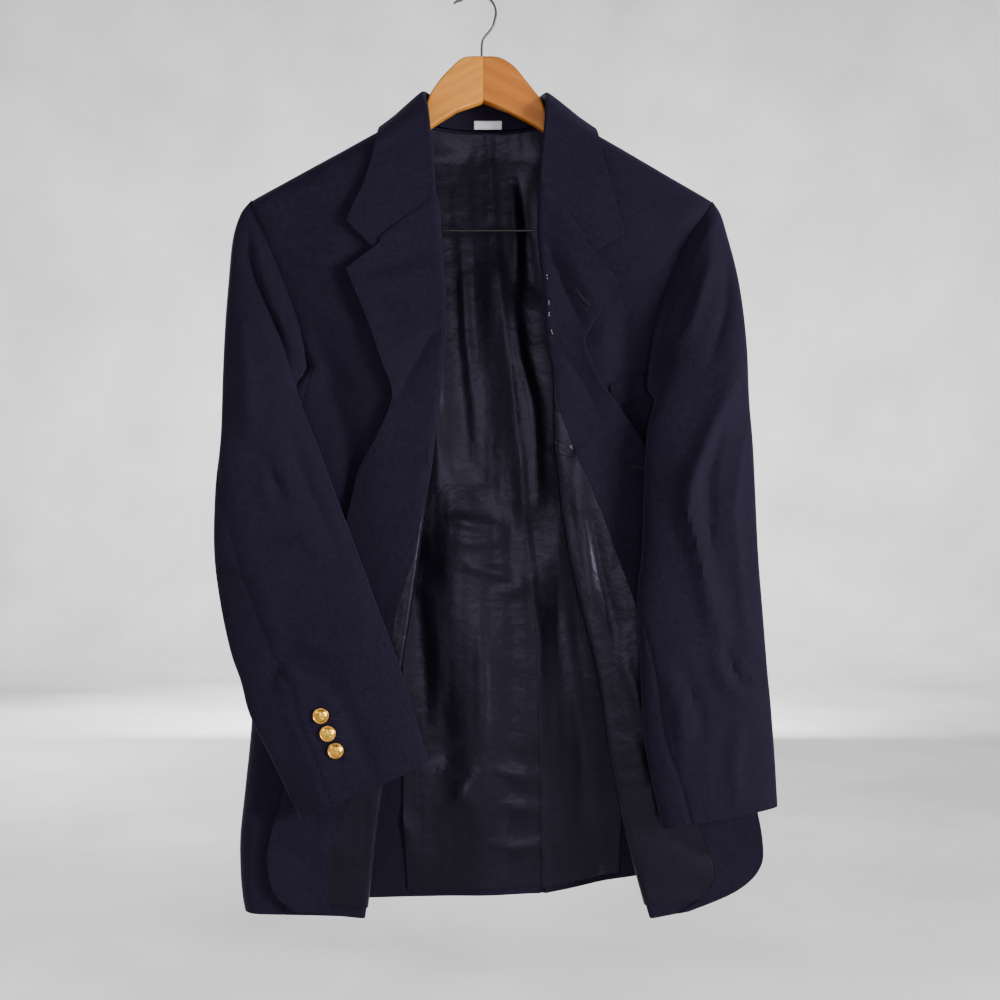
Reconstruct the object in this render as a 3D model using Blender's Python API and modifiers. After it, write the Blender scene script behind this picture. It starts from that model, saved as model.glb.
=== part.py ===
"""A navy blazer hanging open on a wooden hanger.

Both fronts are folded outwards along the lapel roll line and its continuation to the hem,
so that the facings and the satin lining show. Each sleeve lies over its folded front.
Left and right are the wearer's: the right front is at -X. The viewer looks along +Y.
Lengths in the tables are millimetres; the origin is inside the top of the hanger's hook.
"""
import math

import bmesh
import bpy
import numpy as np
from mathutils import Vector

MM = 0.001
GARMENT = "blazer_on_hanger"

# Cloth walls and the gaps between them.
WOOL = 1.6
FACING = 1.4
SATIN = 1.0
COLLAR_WALL = 1.8
GAP = 0.3
LAYER_GAP = 0.6
SEAM = 0.35

# Depths of the layers: the crest runs over the hanger's arms, the viewer is at -Y.
CREST_Y = 0.0
FRONT_Y = -21.0
BACK_Y = 28.0
FOLD_RADIUS = 2.7
SHOULDER_ROUND = 22.0
FRONT_SIDE_ROUND = 18.0
BACK_SIDE_ROUND = 32.0

# Rows of a front, from the shoulder to the hem.
# side: armhole, then side of the body; fold: neck seam, then roll and fold line;
# edge: lapel and front edge of the folded flap; seam: where the facing meets the lining,
# counted 0-1 on the front, 1-2 round the fold, 2-3 on the flap; panel: share of the side panel.
FRONT_COLUMNS = ("side_x", "side_z", "fold_x", "fold_z", "edge_x", "edge_z", "seam", "panel")
FRONT_RIGHT = (
    (-231.0, -214.0, -66.5, -124.0, -132.0, -286.0, 0.82, 0.00),
    (-225.0, -232.0, -61.0, -150.0, -132.0, -286.0, 0.82, 0.00),
    (-217.0, -250.0, -60.0, -178.0, -132.0, -286.0, 0.82, 0.00),
    (-209.0, -268.0, -57.5, -205.0, -132.0, -286.0, 0.82, 0.00),
    (-202.0, -285.0, -40.5, -219.0, -132.0, -287.0, 0.82, 0.00),
    (-195.0, -302.0, -38.5, -240.0, -122.0, -310.0, 0.82, 0.00),
    (-188.0, -321.0, -36.5, -265.0, -113.0, -332.0, 0.82, 0.00),
    (-181.0, -342.0, -34.5, -295.0, -103.5, -357.0, 0.82, 0.00),
    (-176.0, -364.0, -32.7, -330.0, -94.5, -384.0, 0.84, 0.00),
    (-174.0, -385.0, -33.2, -365.0, -86.5, -404.0, 0.90, 0.04),
    (-196.0, -410.0, -37.3, -400.0, -86.5, -424.0, 1.00, 0.14),
    (-218.0, -445.0, -41.7, -440.0, -102.0, -460.0, 1.25, 0.22),
    (-224.0, -482.0, -46.0, -480.0, -119.0, -492.0, 1.50, 0.26),
    (-226.0, -523.0, -52.2, -522.0, -128.0, -528.0, 1.75, 0.28),
    (-227.0, -582.0, -60.2, -582.0, -140.0, -582.0, 2.00, 0.29),
    (-228.0, -640.0, -68.5, -640.0, -156.0, -640.0, 2.12, 0.30),
    (-229.0, -700.0, -78.5, -700.0, -169.5, -702.0, 2.10, 0.31),
    (-232.0, -760.0, -88.0, -760.0, -183.0, -762.0, 2.14, 0.32),
    (-238.0, -820.0, -97.0, -820.0, -196.0, -822.0, 2.25, 0.33),
    (-243.0, -868.0, -103.7, -870.0, -209.0, -866.0, 2.38, 0.34),
    (-243.0, -902.0, -108.0, -905.0, -211.0, -893.0, 2.40, 0.35),
    (-241.0, -928.0, -111.0, -930.0, -204.0, -922.0, 2.41, 0.35),
    (-238.0, -944.0, -113.2, -947.0, -184.0, -940.0, 2.42, 0.35),
)
FRONT_LEFT = (
    (243.0, -215.0, 86.0, -123.5, 145.0, -300.0, 0.82, 0.00),
    (231.0, -234.0, 84.0, -148.0, 145.0, -300.0, 0.82, 0.00),
    (219.0, -253.0, 82.5, -168.0, 145.0, -300.0, 0.82, 0.00),
    (209.0, -273.0, 80.0, -192.0, 145.0, -300.0, 0.82, 0.00),
    (200.0, -294.0, 66.3, -205.0, 145.0, -300.5, 0.82, 0.00),
    (192.0, -316.0, 65.4, -225.0, 136.0, -316.0, 0.82, 0.00),
    (185.0, -339.0, 65.0, -250.0, 127.0, -331.0, 0.82, 0.00),
    (180.0, -362.0, 67.5, -280.0, 116.0, -348.0, 1.00, 0.00),
    (177.0, -384.0, 71.0, -310.0, 111.0, -364.0, 1.25, 0.00),
    (176.0, -405.0, 72.7, -350.0, 127.0, -401.0, 1.50, 0.04),
    (200.0, -428.0, 79.2, -388.0, 148.0, -431.0, 1.75, 0.14),
    (222.0, -456.0, 81.0, -427.0, 169.0, -462.0, 2.00, 0.22),
    (230.0, -490.0, 81.8, -465.0, 186.0, -493.0, 2.15, 0.26),
    (234.0, -535.0, 87.0, -522.0, 205.0, -540.0, 2.31, 0.28),
    (237.0, -590.0, 96.6, -582.0, 221.0, -592.0, 2.39, 0.29),
    (239.0, -642.0, 110.5, -640.0, 236.0, -646.0, 2.45, 0.30),
    (241.0, -700.0, 124.5, -698.0, 250.0, -706.0, 2.50, 0.31),
    (243.0, -756.0, 133.8, -755.0, 265.0, -764.0, 2.50, 0.32),
    (245.0, -810.0, 144.5, -815.0, 281.0, -818.0, 2.50, 0.33),
    (244.0, -850.0, 156.5, -870.0, 291.0, -868.0, 2.56, 0.34),
    (242.0, -876.0, 164.5, -900.0, 288.0, -896.0, 2.62, 0.35),
    (240.0, -893.0, 171.5, -926.0, 264.0, -919.0, 2.66, 0.35),
    (238.0, -904.0, 177.6, -947.0, 216.0, -940.0, 2.70, 0.35),
)
GORGE_ROW = 4
UNDERARM_ROW = 9
LAST_ROW = len(FRONT_RIGHT) - 1
SHOULDER_PLACES = (0.0, 0.12, 0.45, 1.0, 2.0, 3.0)
SIDE_COLUMNS = (0.0, 0.12, 0.35, 0.66)
BODY_COLUMNS = 7
FOLD_TURNS = (1.0, 1.25, 1.5, 1.75, 2.0)
FLAP_TURNS = (2.25, 2.5, 2.75, 3.0)
SHOULDER_SEAM = 0.9

# Centre back, skewed towards the wearer's left as the jacket hangs.
CENTRE_BACK = ((-135.0, 12.0), (-181.0, 17.3), (-272.0, 22.6), (-364.0, 33.1), (-459.0, 43.7),
               (-554.0, 54.2), (-628.0, 61.6), (-670.0, 67.9), (-817.0, 70.0), (-935.0, 73.2))
BACK_NECK_Z = -135.6
BACK_NECK_Y = 25.0
BACK_HEM_Z = -936.0
VENT_TOP_Z = -640.0
VENT_WIDTH = 32.0
VENT_STEP = 2.4
VENT_CLEARANCE = 6.0
LINING_ROW = 7.0
LINING_EDGE = 0.6

# Rows of a sleeve, from the armhole to the cuff: the two edges of the flat tube, the depth at
# each edge and of each wall, and the two seams as angles round the tube (0 outer edge,
# 90 towards the viewer, 180 inner edge).
SLEEVE_COLUMNS = ("outer_x", "outer_z", "inner_x", "inner_z", "outer_y", "inner_y",
                  "front_y", "back_y", "hind", "fore")
SLEEVE_RIGHT = (
    (-231.6, -213.0, -175.2, -383.4, 0.0, 0.0, -21.0, 28.0, -60, 225),
    (-242.0, -229.0, -180.0, -388.0, -4.0, -12.0, -34.0, 14.0, -60, 225),
    (-248.0, -256.0, -182.0, -408.0, -12.0, -38.0, -44.0, -14.0, -56, 225),
    (-250.0, -299.0, -172.0, -436.0, -24.0, -46.0, -54.0, -33.0, -53, 225),
    (-251.7, -349.0, -158.0, -470.0, -36.0, -48.0, -60.0, -36.0, -46, 225),
    (-252.7, -400.0, -144.0, -507.0, -44.0, -49.0, -64.0, -37.0, -28, 225),
    (-254.0, -461.0, -127.0, -552.0, -48.0, -50.0, -67.0, -37.0, -4, 225),
    (-259.0, -512.0, -112.0, -592.0, -50.0, -50.0, -68.0, -37.0, 22.5, 225),
    (-260.0, -573.0, -97.0, -633.0, -51.0, -50.0, -68.0, -37.0, 45, 225),
    (-254.0, -624.0, -84.0, -667.0, -51.0, -50.0, -67.0, -37.0, 54, 225),
    (-243.6, -673.0, -73.0, -698.0, -51.0, -50.0, -66.0, -37.0, 60, 225),
    (-233.4, -703.0, -66.0, -722.0, -51.0, -50.0, -65.0, -37.0, 66, 225),
    (-224.3, -737.0, -59.0, -745.0, -51.0, -50.0, -64.0, -37.0, 65, 225),
    (-203.0, -781.0, -53.0, -765.0, -50.0, -49.0, -63.0, -37.0, 63, 225),
    (-174.5, -840.0, -47.5, -785.0, -50.0, -49.0, -63.0, -37.0, 59, 225),
)
SLEEVE_LEFT = (
    (243.6, -214.0, 177.2, -403.4, 0.0, 0.0, -21.0, 28.0, -60, 225),
    (251.0, -229.0, 181.0, -408.0, -4.0, -12.0, -34.0, 14.0, -60, 225),
    (256.5, -252.0, 181.0, -424.0, -12.0, -42.0, -44.0, -14.0, -60, 225),
    (263.5, -286.0, 173.5, -452.0, -24.0, -46.0, -54.0, -33.0, -60, 225),
    (268.3, -324.0, 171.0, -482.0, -36.0, -48.0, -60.0, -36.0, -60, 225),
    (271.5, -368.0, 169.3, -515.0, -44.0, -49.0, -64.0, -37.0, -60, 215),
    (273.2, -420.0, 168.2, -550.0, -48.0, -50.0, -67.0, -37.0, -60, 205),
    (276.6, -466.0, 166.6, -583.0, -50.0, -50.0, -68.0, -37.0, -60, 192),
    (279.0, -518.0, 162.5, -616.0, -51.0, -50.0, -68.0, -37.0, -60, 180),
    (282.0, -580.0, 164.3, -655.0, -51.0, -50.0, -67.0, -37.0, -60, 157.5),
    (286.2, -633.0, 166.0, -700.0, -51.0, -50.0, -66.0, -37.0, -60, 143),
    (290.0, -680.0, 168.0, -738.0, -51.0, -50.0, -65.0, -37.0, -60, 139),
    (294.3, -727.0, 171.5, -774.0, -51.0, -50.0, -64.0, -37.0, -60, 135),
    (298.2, -776.0, 179.5, -813.0, -50.0, -49.0, -63.0, -37.0, -60, 127),
    (301.2, -828.0, 188.0, -850.0, -50.0, -49.0, -63.0, -37.0, -60, 124),
)
SLEEVE_LAST = len(SLEEVE_RIGHT) - 1
SLEEVE_PLACES = (0, 0.5, 1, 1.5, 2, 2.5, 3, 4, 5, 6, 7, 8, 9, 10, 11, 12.3, 13.2, 14)
SLEEVE_GAP = 1.3
SLEEVE_SEAM = 1.0
SLEEVE_STEP = 22.5
SLEEVE_RADIUS = 45.0
TUBE_SQUARENESS = 0.8

# Collar stations from a front end to the centre back: leaf edge, roll line and stand seam.
COLLAR_COLUMNS = ("leaf_x", "leaf_y", "leaf_z", "roll_x", "roll_y", "roll_z",
                  "stand_x", "stand_y", "stand_z")
COLLAR_RIGHT = (
    (-131.6, -27.0, -238.0, -41.3, -25.5, -214.0, -44.8, -20.8, -214.5),
    (-124.8, -27.0, -222.0, -42.2, -25.5, -196.0, -47.5, -19.5, -197.0),
    (-113.5, -27.0, -198.0, -44.0, -25.0, -172.0, -51.0, -18.0, -173.0),
    (-105.8, -27.0, -174.0, -46.5, -24.5, -148.0, -54.0, -16.0, -147.0),
    (-101.0, -25.5, -153.0, -49.5, -22.5, -122.0, -58.0, -11.5, -127.5),
    (-98.0, 0.0, -136.5, -53.0, -2.0, -103.5, -66.0, -1.0, -121.0),
    (-88.0, 31.0, -146.0, -44.0, 15.0, -104.0, -54.0, 14.0, -126.0),
    (-55.0, 34.5, -157.0, -25.0, 23.0, -107.0, -30.0, 22.5, -132.0),
    (12.0, 36.0, -160.0, 12.0, 26.0, -108.5, 12.0, 24.5, -134.0),
)
COLLAR_LEFT = (
    (152.0, -27.0, -250.0, 66.0, -25.5, -200.0, 69.5, -20.8, -200.0),
    (146.0, -27.0, -233.0, 66.3, -25.5, -184.0, 71.6, -19.5, -185.0),
    (139.5, -27.0, -208.0, 67.5, -25.0, -167.0, 74.5, -18.0, -168.0),
    (131.0, -27.0, -178.0, 70.0, -24.5, -147.0, 77.5, -16.0, -146.0),
    (126.0, -25.5, -156.0, 71.5, -22.5, -124.0, 80.0, -11.5, -128.5),
    (121.5, 0.0, -138.0, 71.5, -2.0, -105.0, 85.5, -1.0, -120.5),
    (111.0, 31.0, -149.0, 64.0, 15.0, -105.0, 74.0, 14.0, -126.0),
    (78.0, 34.5, -158.0, 46.0, 23.0, -107.0, 50.0, 22.5, -132.0),
    (12.0, 36.0, -160.0, 12.0, 26.0, -108.5, 12.0, 24.5, -134.0),
)
NOTCH = {"right": (-104.4, -27.0, -265.0), "left": (120.6, -27.0, -269.0)}
COLLAR_LAST = len(COLLAR_RIGHT) - 1
COLLAR_ROWS = 12
ROLL_RADIUS = 2.4

# The largest soft folds of each layer, as troughs (positive depth) and ridges (negative),
# each along a line from (x0, z0) to (x1, z1).
FOLD_COLUMNS = ("x0", "z0", "x1", "z1", "width", "depth")
FOLDS = {
    "front_right": ((-129.0, -287.0, -40.0, -272.0, 16.0, 1.6), (-34.0, -348.0, -90.0, -425.0, 13.0, 1.8)),
    "front_left": ((70.0, -255.0, 112.0, -358.0, 13.0, 2.0), (85.0, -440.0, 110.0, -520.0, 14.0, -1.6)),
    "back": (
        (-25.0, -175.0, 0.0, -500.0, 16.0, 4.0), (25.0, -290.0, 56.0, -520.0, 15.0, -4.0),
        (48.0, -200.0, 58.0, -290.0, 12.0, 3.5), (-65.0, -600.0, -34.0, -780.0, 22.0, 6.0),
        (98.0, -640.0, 130.0, -900.0, 24.0, 7.0), (-20.0, -560.0, 10.0, -930.0, 30.0, -5.0),
        (-160.0, -300.0, -150.0, -700.0, 26.0, -5.0), (180.0, -320.0, 190.0, -640.0, 28.0, -5.0)),
    "sleeve_right": (
        (-238.0, -240.0, -186.0, -395.0, 7.0, 3.0), (-215.0, -480.0, -198.0, -515.0, 12.0, 3.0),
        (-250.0, -475.0, -150.0, -815.0, 13.0, -2.6), (-205.0, -660.0, -150.0, -700.0, 14.0, 2.6)),
    "sleeve_left": (
        (238.0, -240.0, 205.0, -350.0, 14.0, -3.5), (262.0, -385.0, 215.0, -500.0, 15.0, -3.5),
        (212.0, -515.0, 245.0, -660.0, 14.0, -3.0), (268.0, -440.0, 258.0, -660.0, 12.0, 2.6),
        (245.0, -665.0, 288.0, -695.0, 11.0, 3.0), (205.0, -680.0, 228.0, -780.0, 13.0, -2.6)),
}

# Trims.
BUTTON_RADIUS = 8.0
BUTTON_HEIGHT = 4.2
BUTTONS = {"right": ((-152.0, -735.5), (-146.3, -753.8), (-139.0, -770.0)),
           "left": ((285.5, -742.0), (287.5, -761.0), (289.5, -780.0))}
WELT_CORNERS = (137.0, 172.0, -405.0, -427.0)
POCKET_ROWS = (-463.0, -478.0)
LABEL_CENTRE = 12.0
LABEL_SIZE = (29.0, 9.0)
LABEL_Y = 22.2
LABEL_TOP_Z = -124.5

# Hanger: wishbone halves of wood, mitred in the middle.
WOOD_THICKNESS = 12.0
MITRE_X = 7.2
WOOD_TOP_LEFT = ((23.7, -65.4), (38.1, -73.6), (49.9, -87.0), (59.7, -99.4), (67.5, -110.0),
                 (73.0, -124.0), (81.0, -136.0), (97.0, -144.0), (130.0, -159.0),
                 (170.0, -182.5), (206.0, -204.0), (213.0, -214.0))
WOOD_UNDER_LEFT = ((212.0, -248.0), (205.0, -254.0), (198.0, -248.0), (190.0, -228.0),
                   (165.0, -210.0), (120.0, -182.0), (71.0, -142.7), (32.0, -121.0))
WOOD_TOP_RIGHT = ((-12.4, -65.4), (-26.8, -76.7), (-38.1, -89.1), (-46.8, -102.0), (-50.5, -111.0),
                  (-56.0, -126.0), (-66.0, -137.0), (-84.0, -145.5), (-120.0, -163.0),
                  (-160.0, -185.0), (-196.0, -204.0), (-203.0, -214.0))
WOOD_UNDER_RIGHT = ((-202.0, -248.0), (-195.0, -254.0), (-188.0, -248.0), (-180.0, -228.0),
                    (-152.0, -208.0), (-105.0, -178.0), (-49.0, -139.6), (-19.6, -121.0))
WOOD_PEAK_Z = -64.4
WOOD_NOTCH_Z = -111.8
BAR_Z = -243.6
BAR_RADIUS = 1.3
BAR_ENDS = (-185.3, 195.3)
WIRE_RADIUS = 1.35
HOOK_RADIUS = 20.3
HOOK_CENTRE_Z = -18.95
HOOK_STEM = ((17.6, -32.0), (14.2, -37.2), (9.9, -42.2), (6.9, -47.2), (5.7, -53.0), (5.5, -63.6))
SMOOTH_STEPS = 3
HOOK_TIP = ((-23.4, -8.9), (-19.6, -6.4))

# Colours, roughness and metallic value of each material.
FINISHES = {
    "navy_wool": ((0.016, 0.015, 0.035), 0.85, 0.0),
    "black_satin": ((0.012, 0.012, 0.018), 0.38, 0.0),
    "label_cloth": ((0.75, 0.76, 0.74), 0.7, 0.0),
    "gilt_brass": ((0.78, 0.56, 0.22), 0.3, 1.0),
    "varnished_wood": ((0.58, 0.32, 0.11), 0.4, 0.0),
    "chrome_wire": ((0.6, 0.6, 0.62), 0.2, 1.0),
}


def clear_scene():
    for item in list(bpy.data.objects):
        bpy.data.objects.remove(item, do_unlink=True)


def make_material(name):
    colour, roughness, metallic = FINISHES[name]
    material = bpy.data.materials.new(name)
    material.use_nodes = True
    shader = material.node_tree.nodes["Principled BSDF"]
    shader.inputs["Base Color"].default_value = (*colour, 1.0)
    shader.inputs["Roughness"].default_value = roughness
    shader.inputs["Metallic"].default_value = metallic
    return material


def spline(table, place):
    """A row of the table at any place between its rows, on a smooth curve through them."""
    rows = np.asarray(table, float)
    index = min(max(int(place), 0), len(rows) - 2)
    share = place - index
    before, here = rows[max(index - 1, 0)], rows[index]
    after, beyond = rows[index + 1], rows[min(index + 2, len(rows) - 1)]
    return here + 0.5 * share * (after - before + share * (
        2 * before - 5 * here + 4 * after - beyond + share * (3 * (here - after) + beyond - before)))


def row_of(table, columns, place):
    return dict(zip(columns, spline(table, place)))


def mix(start, end, share):
    return start + (end - start) * share


def rounding(share):
    """A quarter round: rises from 0 to 1 as the share does."""
    share = min(max(share, 0.0), 1.0)
    return math.sqrt(share * (2 - share))


def soft_folds(layer, x, z):
    """How far the layer's named folds push the cloth at (x, z), away from the viewer."""
    push = 0.0
    for fold in FOLDS[layer]:
        x0, z0, x1, z1, width, depth = fold
        along = np.array((x1 - x0, z1 - z0))
        length = float(np.hypot(*along))
        share = float(np.dot((x - x0, z - z0), along)) / length ** 2
        across = float(np.cross(along, (x - x0, z - z0))) / length
        past = max(-share, share - 1.0, 0.0) * length
        push += depth * math.exp(-(across / width) ** 2 - (past / (1.6 * width)) ** 2)
    return push


class Side:
    """One half of the jacket; outward is -1 for the wearer's right and 1 for the left."""

    def __init__(self, name, outward, front, sleeve, collar):
        self.name, self.outward = name, outward
        self.front, self.sleeve, self.collar = front, sleeve, collar
        self.tip = np.array(front[0][0:2])
        self.neck = np.array(front[0][2:4])
        self.underarm_z = front[UNDERARM_ROW][1]
        self.rim = ([-row[1] for row in front[:UNDERARM_ROW + 1]], [row[0] for row in front[:UNDERARM_ROW + 1]])

    def row(self, place):
        return row_of(self.front, FRONT_COLUMNS, place)

    def below_shoulder(self, x, z):
        slope = (self.tip[1] - self.neck[1]) / (self.tip[0] - self.neck[0])
        return self.neck[1] + slope * (x - self.neck[0]) - z

    def armhole_y(self, z, wall_y):
        share = min(max((z - self.tip[1]) / (self.underarm_z - self.tip[1]), 0.0), 1.0)
        return mix(CREST_Y, wall_y, (2 * math.sqrt(share * (1 - share))) ** TUBE_SQUARENESS)

    def wall_y(self, x, z, row, wall_y, reach):
        """Depth of a body wall: rounded over the shoulder and towards the side."""
        full = mix(CREST_Y, wall_y, rounding(self.below_shoulder(x, z) / SHOULDER_ROUND))
        return mix(self.armhole_y(row["side_z"], wall_y), full, rounding(abs(x - row["side_x"]) / reach))

    def front_point(self, place, turn):
        """A point of a front: turn 0-1 on the body, 1-2 round the fold, 2-3 on the flap."""
        row = self.row(place)
        start_x = row["fold_x"] + self.outward * FOLD_RADIUS
        layer = "front_" + self.name
        if turn <= 1.0:
            x = mix(row["side_x"], start_x, turn)
            z = mix(row["side_z"], row["fold_z"], turn)
            y = self.wall_y(x, z, row, FRONT_Y, FRONT_SIDE_ROUND)
            return np.array((x, y + soft_folds(layer, x, z) * rounding(turn * 3), z))
        y = self.wall_y(start_x, row["fold_z"], row, FRONT_Y, FRONT_SIDE_ROUND)
        if turn <= 2.0:
            angle = (turn - 1.0) * math.pi
            x = start_x - self.outward * FOLD_RADIUS * math.sin(angle)
            y += soft_folds(layer, start_x, row["fold_z"]) - FOLD_RADIUS * (1 - math.cos(angle))
            return np.array((x, y, row["fold_z"]))
        x = mix(start_x, row["edge_x"], turn - 2.0)
        z = mix(row["fold_z"], row["edge_z"], turn - 2.0)
        return np.array((x, FRONT_Y - 2 * FOLD_RADIUS + soft_folds(layer, x, z), z))

    def inner(self, surface, place, turn, distance):
        """A point of a surface moved from the outer cloth towards its lining side."""
        step = 0.01
        here = surface(place, turn)
        along = surface(place, turn + step) - surface(place, max(turn - step, 0.0))
        down = surface(place + step, turn) - here
        normal = np.cross(along, down) * -self.outward
        return here + normal / np.linalg.norm(normal) * distance

    def front_inner(self, place, turn, distance):
        return self.inner(self.front_point, place, turn, distance)

    def turn_share(self, surface, place, turn, distance):
        """The change of turn that moves a point by the distance along its row."""
        step = 0.01
        length = np.linalg.norm(surface(place, turn + step) - surface(place, max(turn - step, 0.0)))
        return distance * 2 * step / length

    def back_point(self, place, share):
        """A point of a back panel: share 0 at the armhole or side, 1 at the centre back."""
        row = self.row(place)
        drop = (row_of(FRONT_RIGHT, FRONT_COLUMNS, place)["fold_z"] - FRONT_RIGHT[0][3]) / (
            FRONT_RIGHT[LAST_ROW][3] - FRONT_RIGHT[0][3])
        centre_z = mix(BACK_NECK_Z, BACK_HEM_Z, drop)
        x = mix(row["side_x"], centre_back_x(centre_z), share)
        z = mix(row["side_z"], centre_z, share)
        top_x = mix(self.tip[0], CENTRE_BACK[0][1], share)
        top_y, top_z = self.back_top(top_x)
        fade = max(1.0 - place / 6.0, 0.0) ** 2
        z += (top_z - mix(self.tip[1], BACK_NECK_Z, share)) * fade
        full = mix(CREST_Y, BACK_Y, rounding(self.below_shoulder(x, z) / SHOULDER_ROUND))
        full = mix(full, top_y, max(1.0 - place, 0.0))
        y = mix(self.armhole_y(row["side_z"], BACK_Y), full, rounding(abs(x - row["side_x"]) / BACK_SIDE_ROUND))
        return np.array((x, y + soft_folds("back", x, z) * rounding(share * 4) * rounding(place / 4), z))

    def back_top(self, x):
        """Depth and height of the back's top edge: shoulder seam, then neck seam."""
        share = (x - self.neck[0]) / (CENTRE_BACK[0][1] - self.neck[0])
        if share <= 0.0:
            return CREST_Y, self.below_shoulder(x, 0.0)
        return mix(CREST_Y, BACK_NECK_Y, rounding(share * 1.3)), mix(self.neck[1], BACK_NECK_Z, rounding(share))

    def back_inner(self, place, share, distance):
        return self.inner(self.back_point, place, share, -distance)

    def sleeve_point(self, place, angle, lift=0.0):
        """A point of the sleeve's flat tube, at an angle in degrees round it."""
        row = row_of(self.sleeve, SLEEVE_COLUMNS, place)
        radians = math.radians(angle)
        share = (1 - math.cos(radians)) / 2
        x = mix(row["outer_x"], row["inner_x"], share)
        z = mix(row["outer_z"], row["inner_z"], share)
        rim_z = mix(self.sleeve[0][1], self.sleeve[0][3], share)
        rim_x = mix(self.sleeve[0][0], self.sleeve[0][2], share)
        bow = (self.armhole_rim(rim_z) - rim_x) * max(1.0 - place / 4.0, 0.0)
        edge_y = mix(row["outer_y"], row["inner_y"], share)
        wave = math.sin(radians)
        wall = row["front_y"] if wave >= 0 else row["back_y"]
        y = mix(edge_y, wall, abs(wave) ** TUBE_SQUARENESS)
        if wave > 0:
            y += soft_folds("sleeve_" + self.name, x, z) * rounding(wave * 2)
        return np.array((x + bow, y, z))

    def armhole_rim(self, z):
        """Where the sleeve's first row lies, just outside the armhole."""
        heights, places = self.rim
        return float(np.interp(-z, heights, places)) + self.outward * SLEEVE_GAP

    def sleeve_place(self, x, z, front):
        """Where on the tube's front or back wall the point (x, z) lies."""
        angles = np.linspace(5, 175, 60) if front else np.linspace(-175, -5, 60)
        spots = [(place, angle) for place in np.linspace(9, SLEEVE_LAST, 80) for angle in angles]
        near = [np.hypot(*(self.sleeve_point(*spot)[[0, 2]] - (x, z))) for spot in spots]
        return spots[int(np.argmin(near))]


def centre_back_x(z):
    heights, places = zip(*CENTRE_BACK[::-1])
    return float(np.interp(z, heights, places))


RIGHT = Side("right", -1, FRONT_RIGHT, SLEEVE_RIGHT, COLLAR_RIGHT)
LEFT = Side("left", 1, FRONT_LEFT, SLEEVE_LEFT, COLLAR_LEFT)


def body_rows(first, last=LAST_ROW):
    """Places of the loft's rows, closer together over the shoulder."""
    lower = np.arange(GORGE_ROW, LAST_ROW + 1.0)
    return [place for place in (*SHOULDER_PLACES, *lower) if first <= place <= last]


def panel_columns(row):
    """Turns of a row's columns: the side panel's, then those of the panel beside it."""
    panel = row["panel"]
    return [panel * share for share in SIDE_COLUMNS] + list(np.linspace(panel, 1.0, BODY_COLUMNS + 1))


def body_grid(side, surface, columns, places, low, high, distance=0.0):
    """Rows of points on a body wall between two borders, which may cross the columns."""
    grid = []
    for place in places:
        row = side.row(place)
        begin, finish = low(place, row), high(place, row)
        turns = [min(max(turn, begin), finish) for turn in columns(row)]
        grid.append([side.inner(surface, place, turn, distance) if distance else surface(place, turn)
                     for turn in turns])
    return grid


def inset(grid, top=0.0, bottom=0.0, start=0.0, end=0.0):
    """Draws the borders of a grid of points in by the given distances."""
    moved = np.array(grid, float)

    def pull(edge, inner, distance):
        away = inner - edge
        length = np.maximum(np.linalg.norm(away, axis=-1, keepdims=True), 1e-9)
        return edge + away / length * np.minimum(distance, 0.6 * length)

    moved[:, 0] = pull(moved[:, 0], moved[:, 1], start)
    moved[:, -1] = pull(moved[:, -1], moved[:, -2], end)
    moved[0] = pull(moved[0], moved[1], top)
    moved[-1] = pull(moved[-1], moved[-2], bottom)
    return moved


def link(name, mesh, material, collection):
    mesh.materials.append(material)
    item = bpy.data.objects.new(name, mesh)
    collection.objects.link(item)
    return item


def cloth(name, grids, thickness, material, collection):
    """A wall of cloth: open grids of points, joined where they meet, given a thickness."""
    sheet = bmesh.new()
    for grid in grids:
        points = [[sheet.verts.new(Vector(point) * MM) for point in row] for row in grid]
        for upper, lower in zip(points, points[1:]):
            for column in range(len(upper) - 1):
                sheet.faces.new((upper[column], upper[column + 1], lower[column + 1], lower[column]))
    bmesh.ops.remove_doubles(sheet, verts=sheet.verts, dist=0.00002)
    bmesh.ops.recalc_face_normals(sheet, faces=sheet.faces)
    mesh = bpy.data.meshes.new(name)
    sheet.to_mesh(mesh)
    sheet.free()
    item = link(name, mesh, material, collection)
    wall = item.modifiers.new("wall", "SOLIDIFY")
    wall.thickness = thickness * MM
    wall.offset = 0.0
    return item


def make_front(side, material, collection):
    """Outer wool of a front: the hanging part, the fold and the flap in one piece."""
    surface = side.front_point

    def seam(place, row):
        return row["panel"] + (side.turn_share(surface, place, row["panel"], SEAM) if row["panel"] > 0.01 else 0.0)

    body = body_grid(side, surface, panel_columns, body_rows(0), seam, lambda place, row: 1.0)
    flap = body_grid(side, surface, lambda row: FOLD_TURNS + FLAP_TURNS, body_rows(GORGE_ROW),
                     lambda place, row: 1.0, lambda place, row: 3.0)
    cloth("front_" + side.name, (inset(body, top=SHOULDER_SEAM), flap),
          WOOL, material, collection)


def lined_columns(row):
    return panel_columns(row) + list(FOLD_TURNS[1:] + FLAP_TURNS)


def seam_turn(side, gap):
    """Border between facing and lining, half a gap to one side of the seam."""
    def border(place, row):
        return row["seam"] + side.turn_share(side.front_point, place, row["seam"], gap)
    return border


def make_facing(side, material, collection):
    """Wool facing: the lapel's face and the strip along the front edge."""
    grid = body_grid(side, side.front_point, lined_columns, body_rows(GORGE_ROW),
                     seam_turn(side, SEAM), lambda place, row: 3.0, (WOOL + FACING) / 2 + LAYER_GAP)
    cloth("facing_" + side.name, (inset(grid, top=SEAM),), FACING, material, collection)


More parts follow.
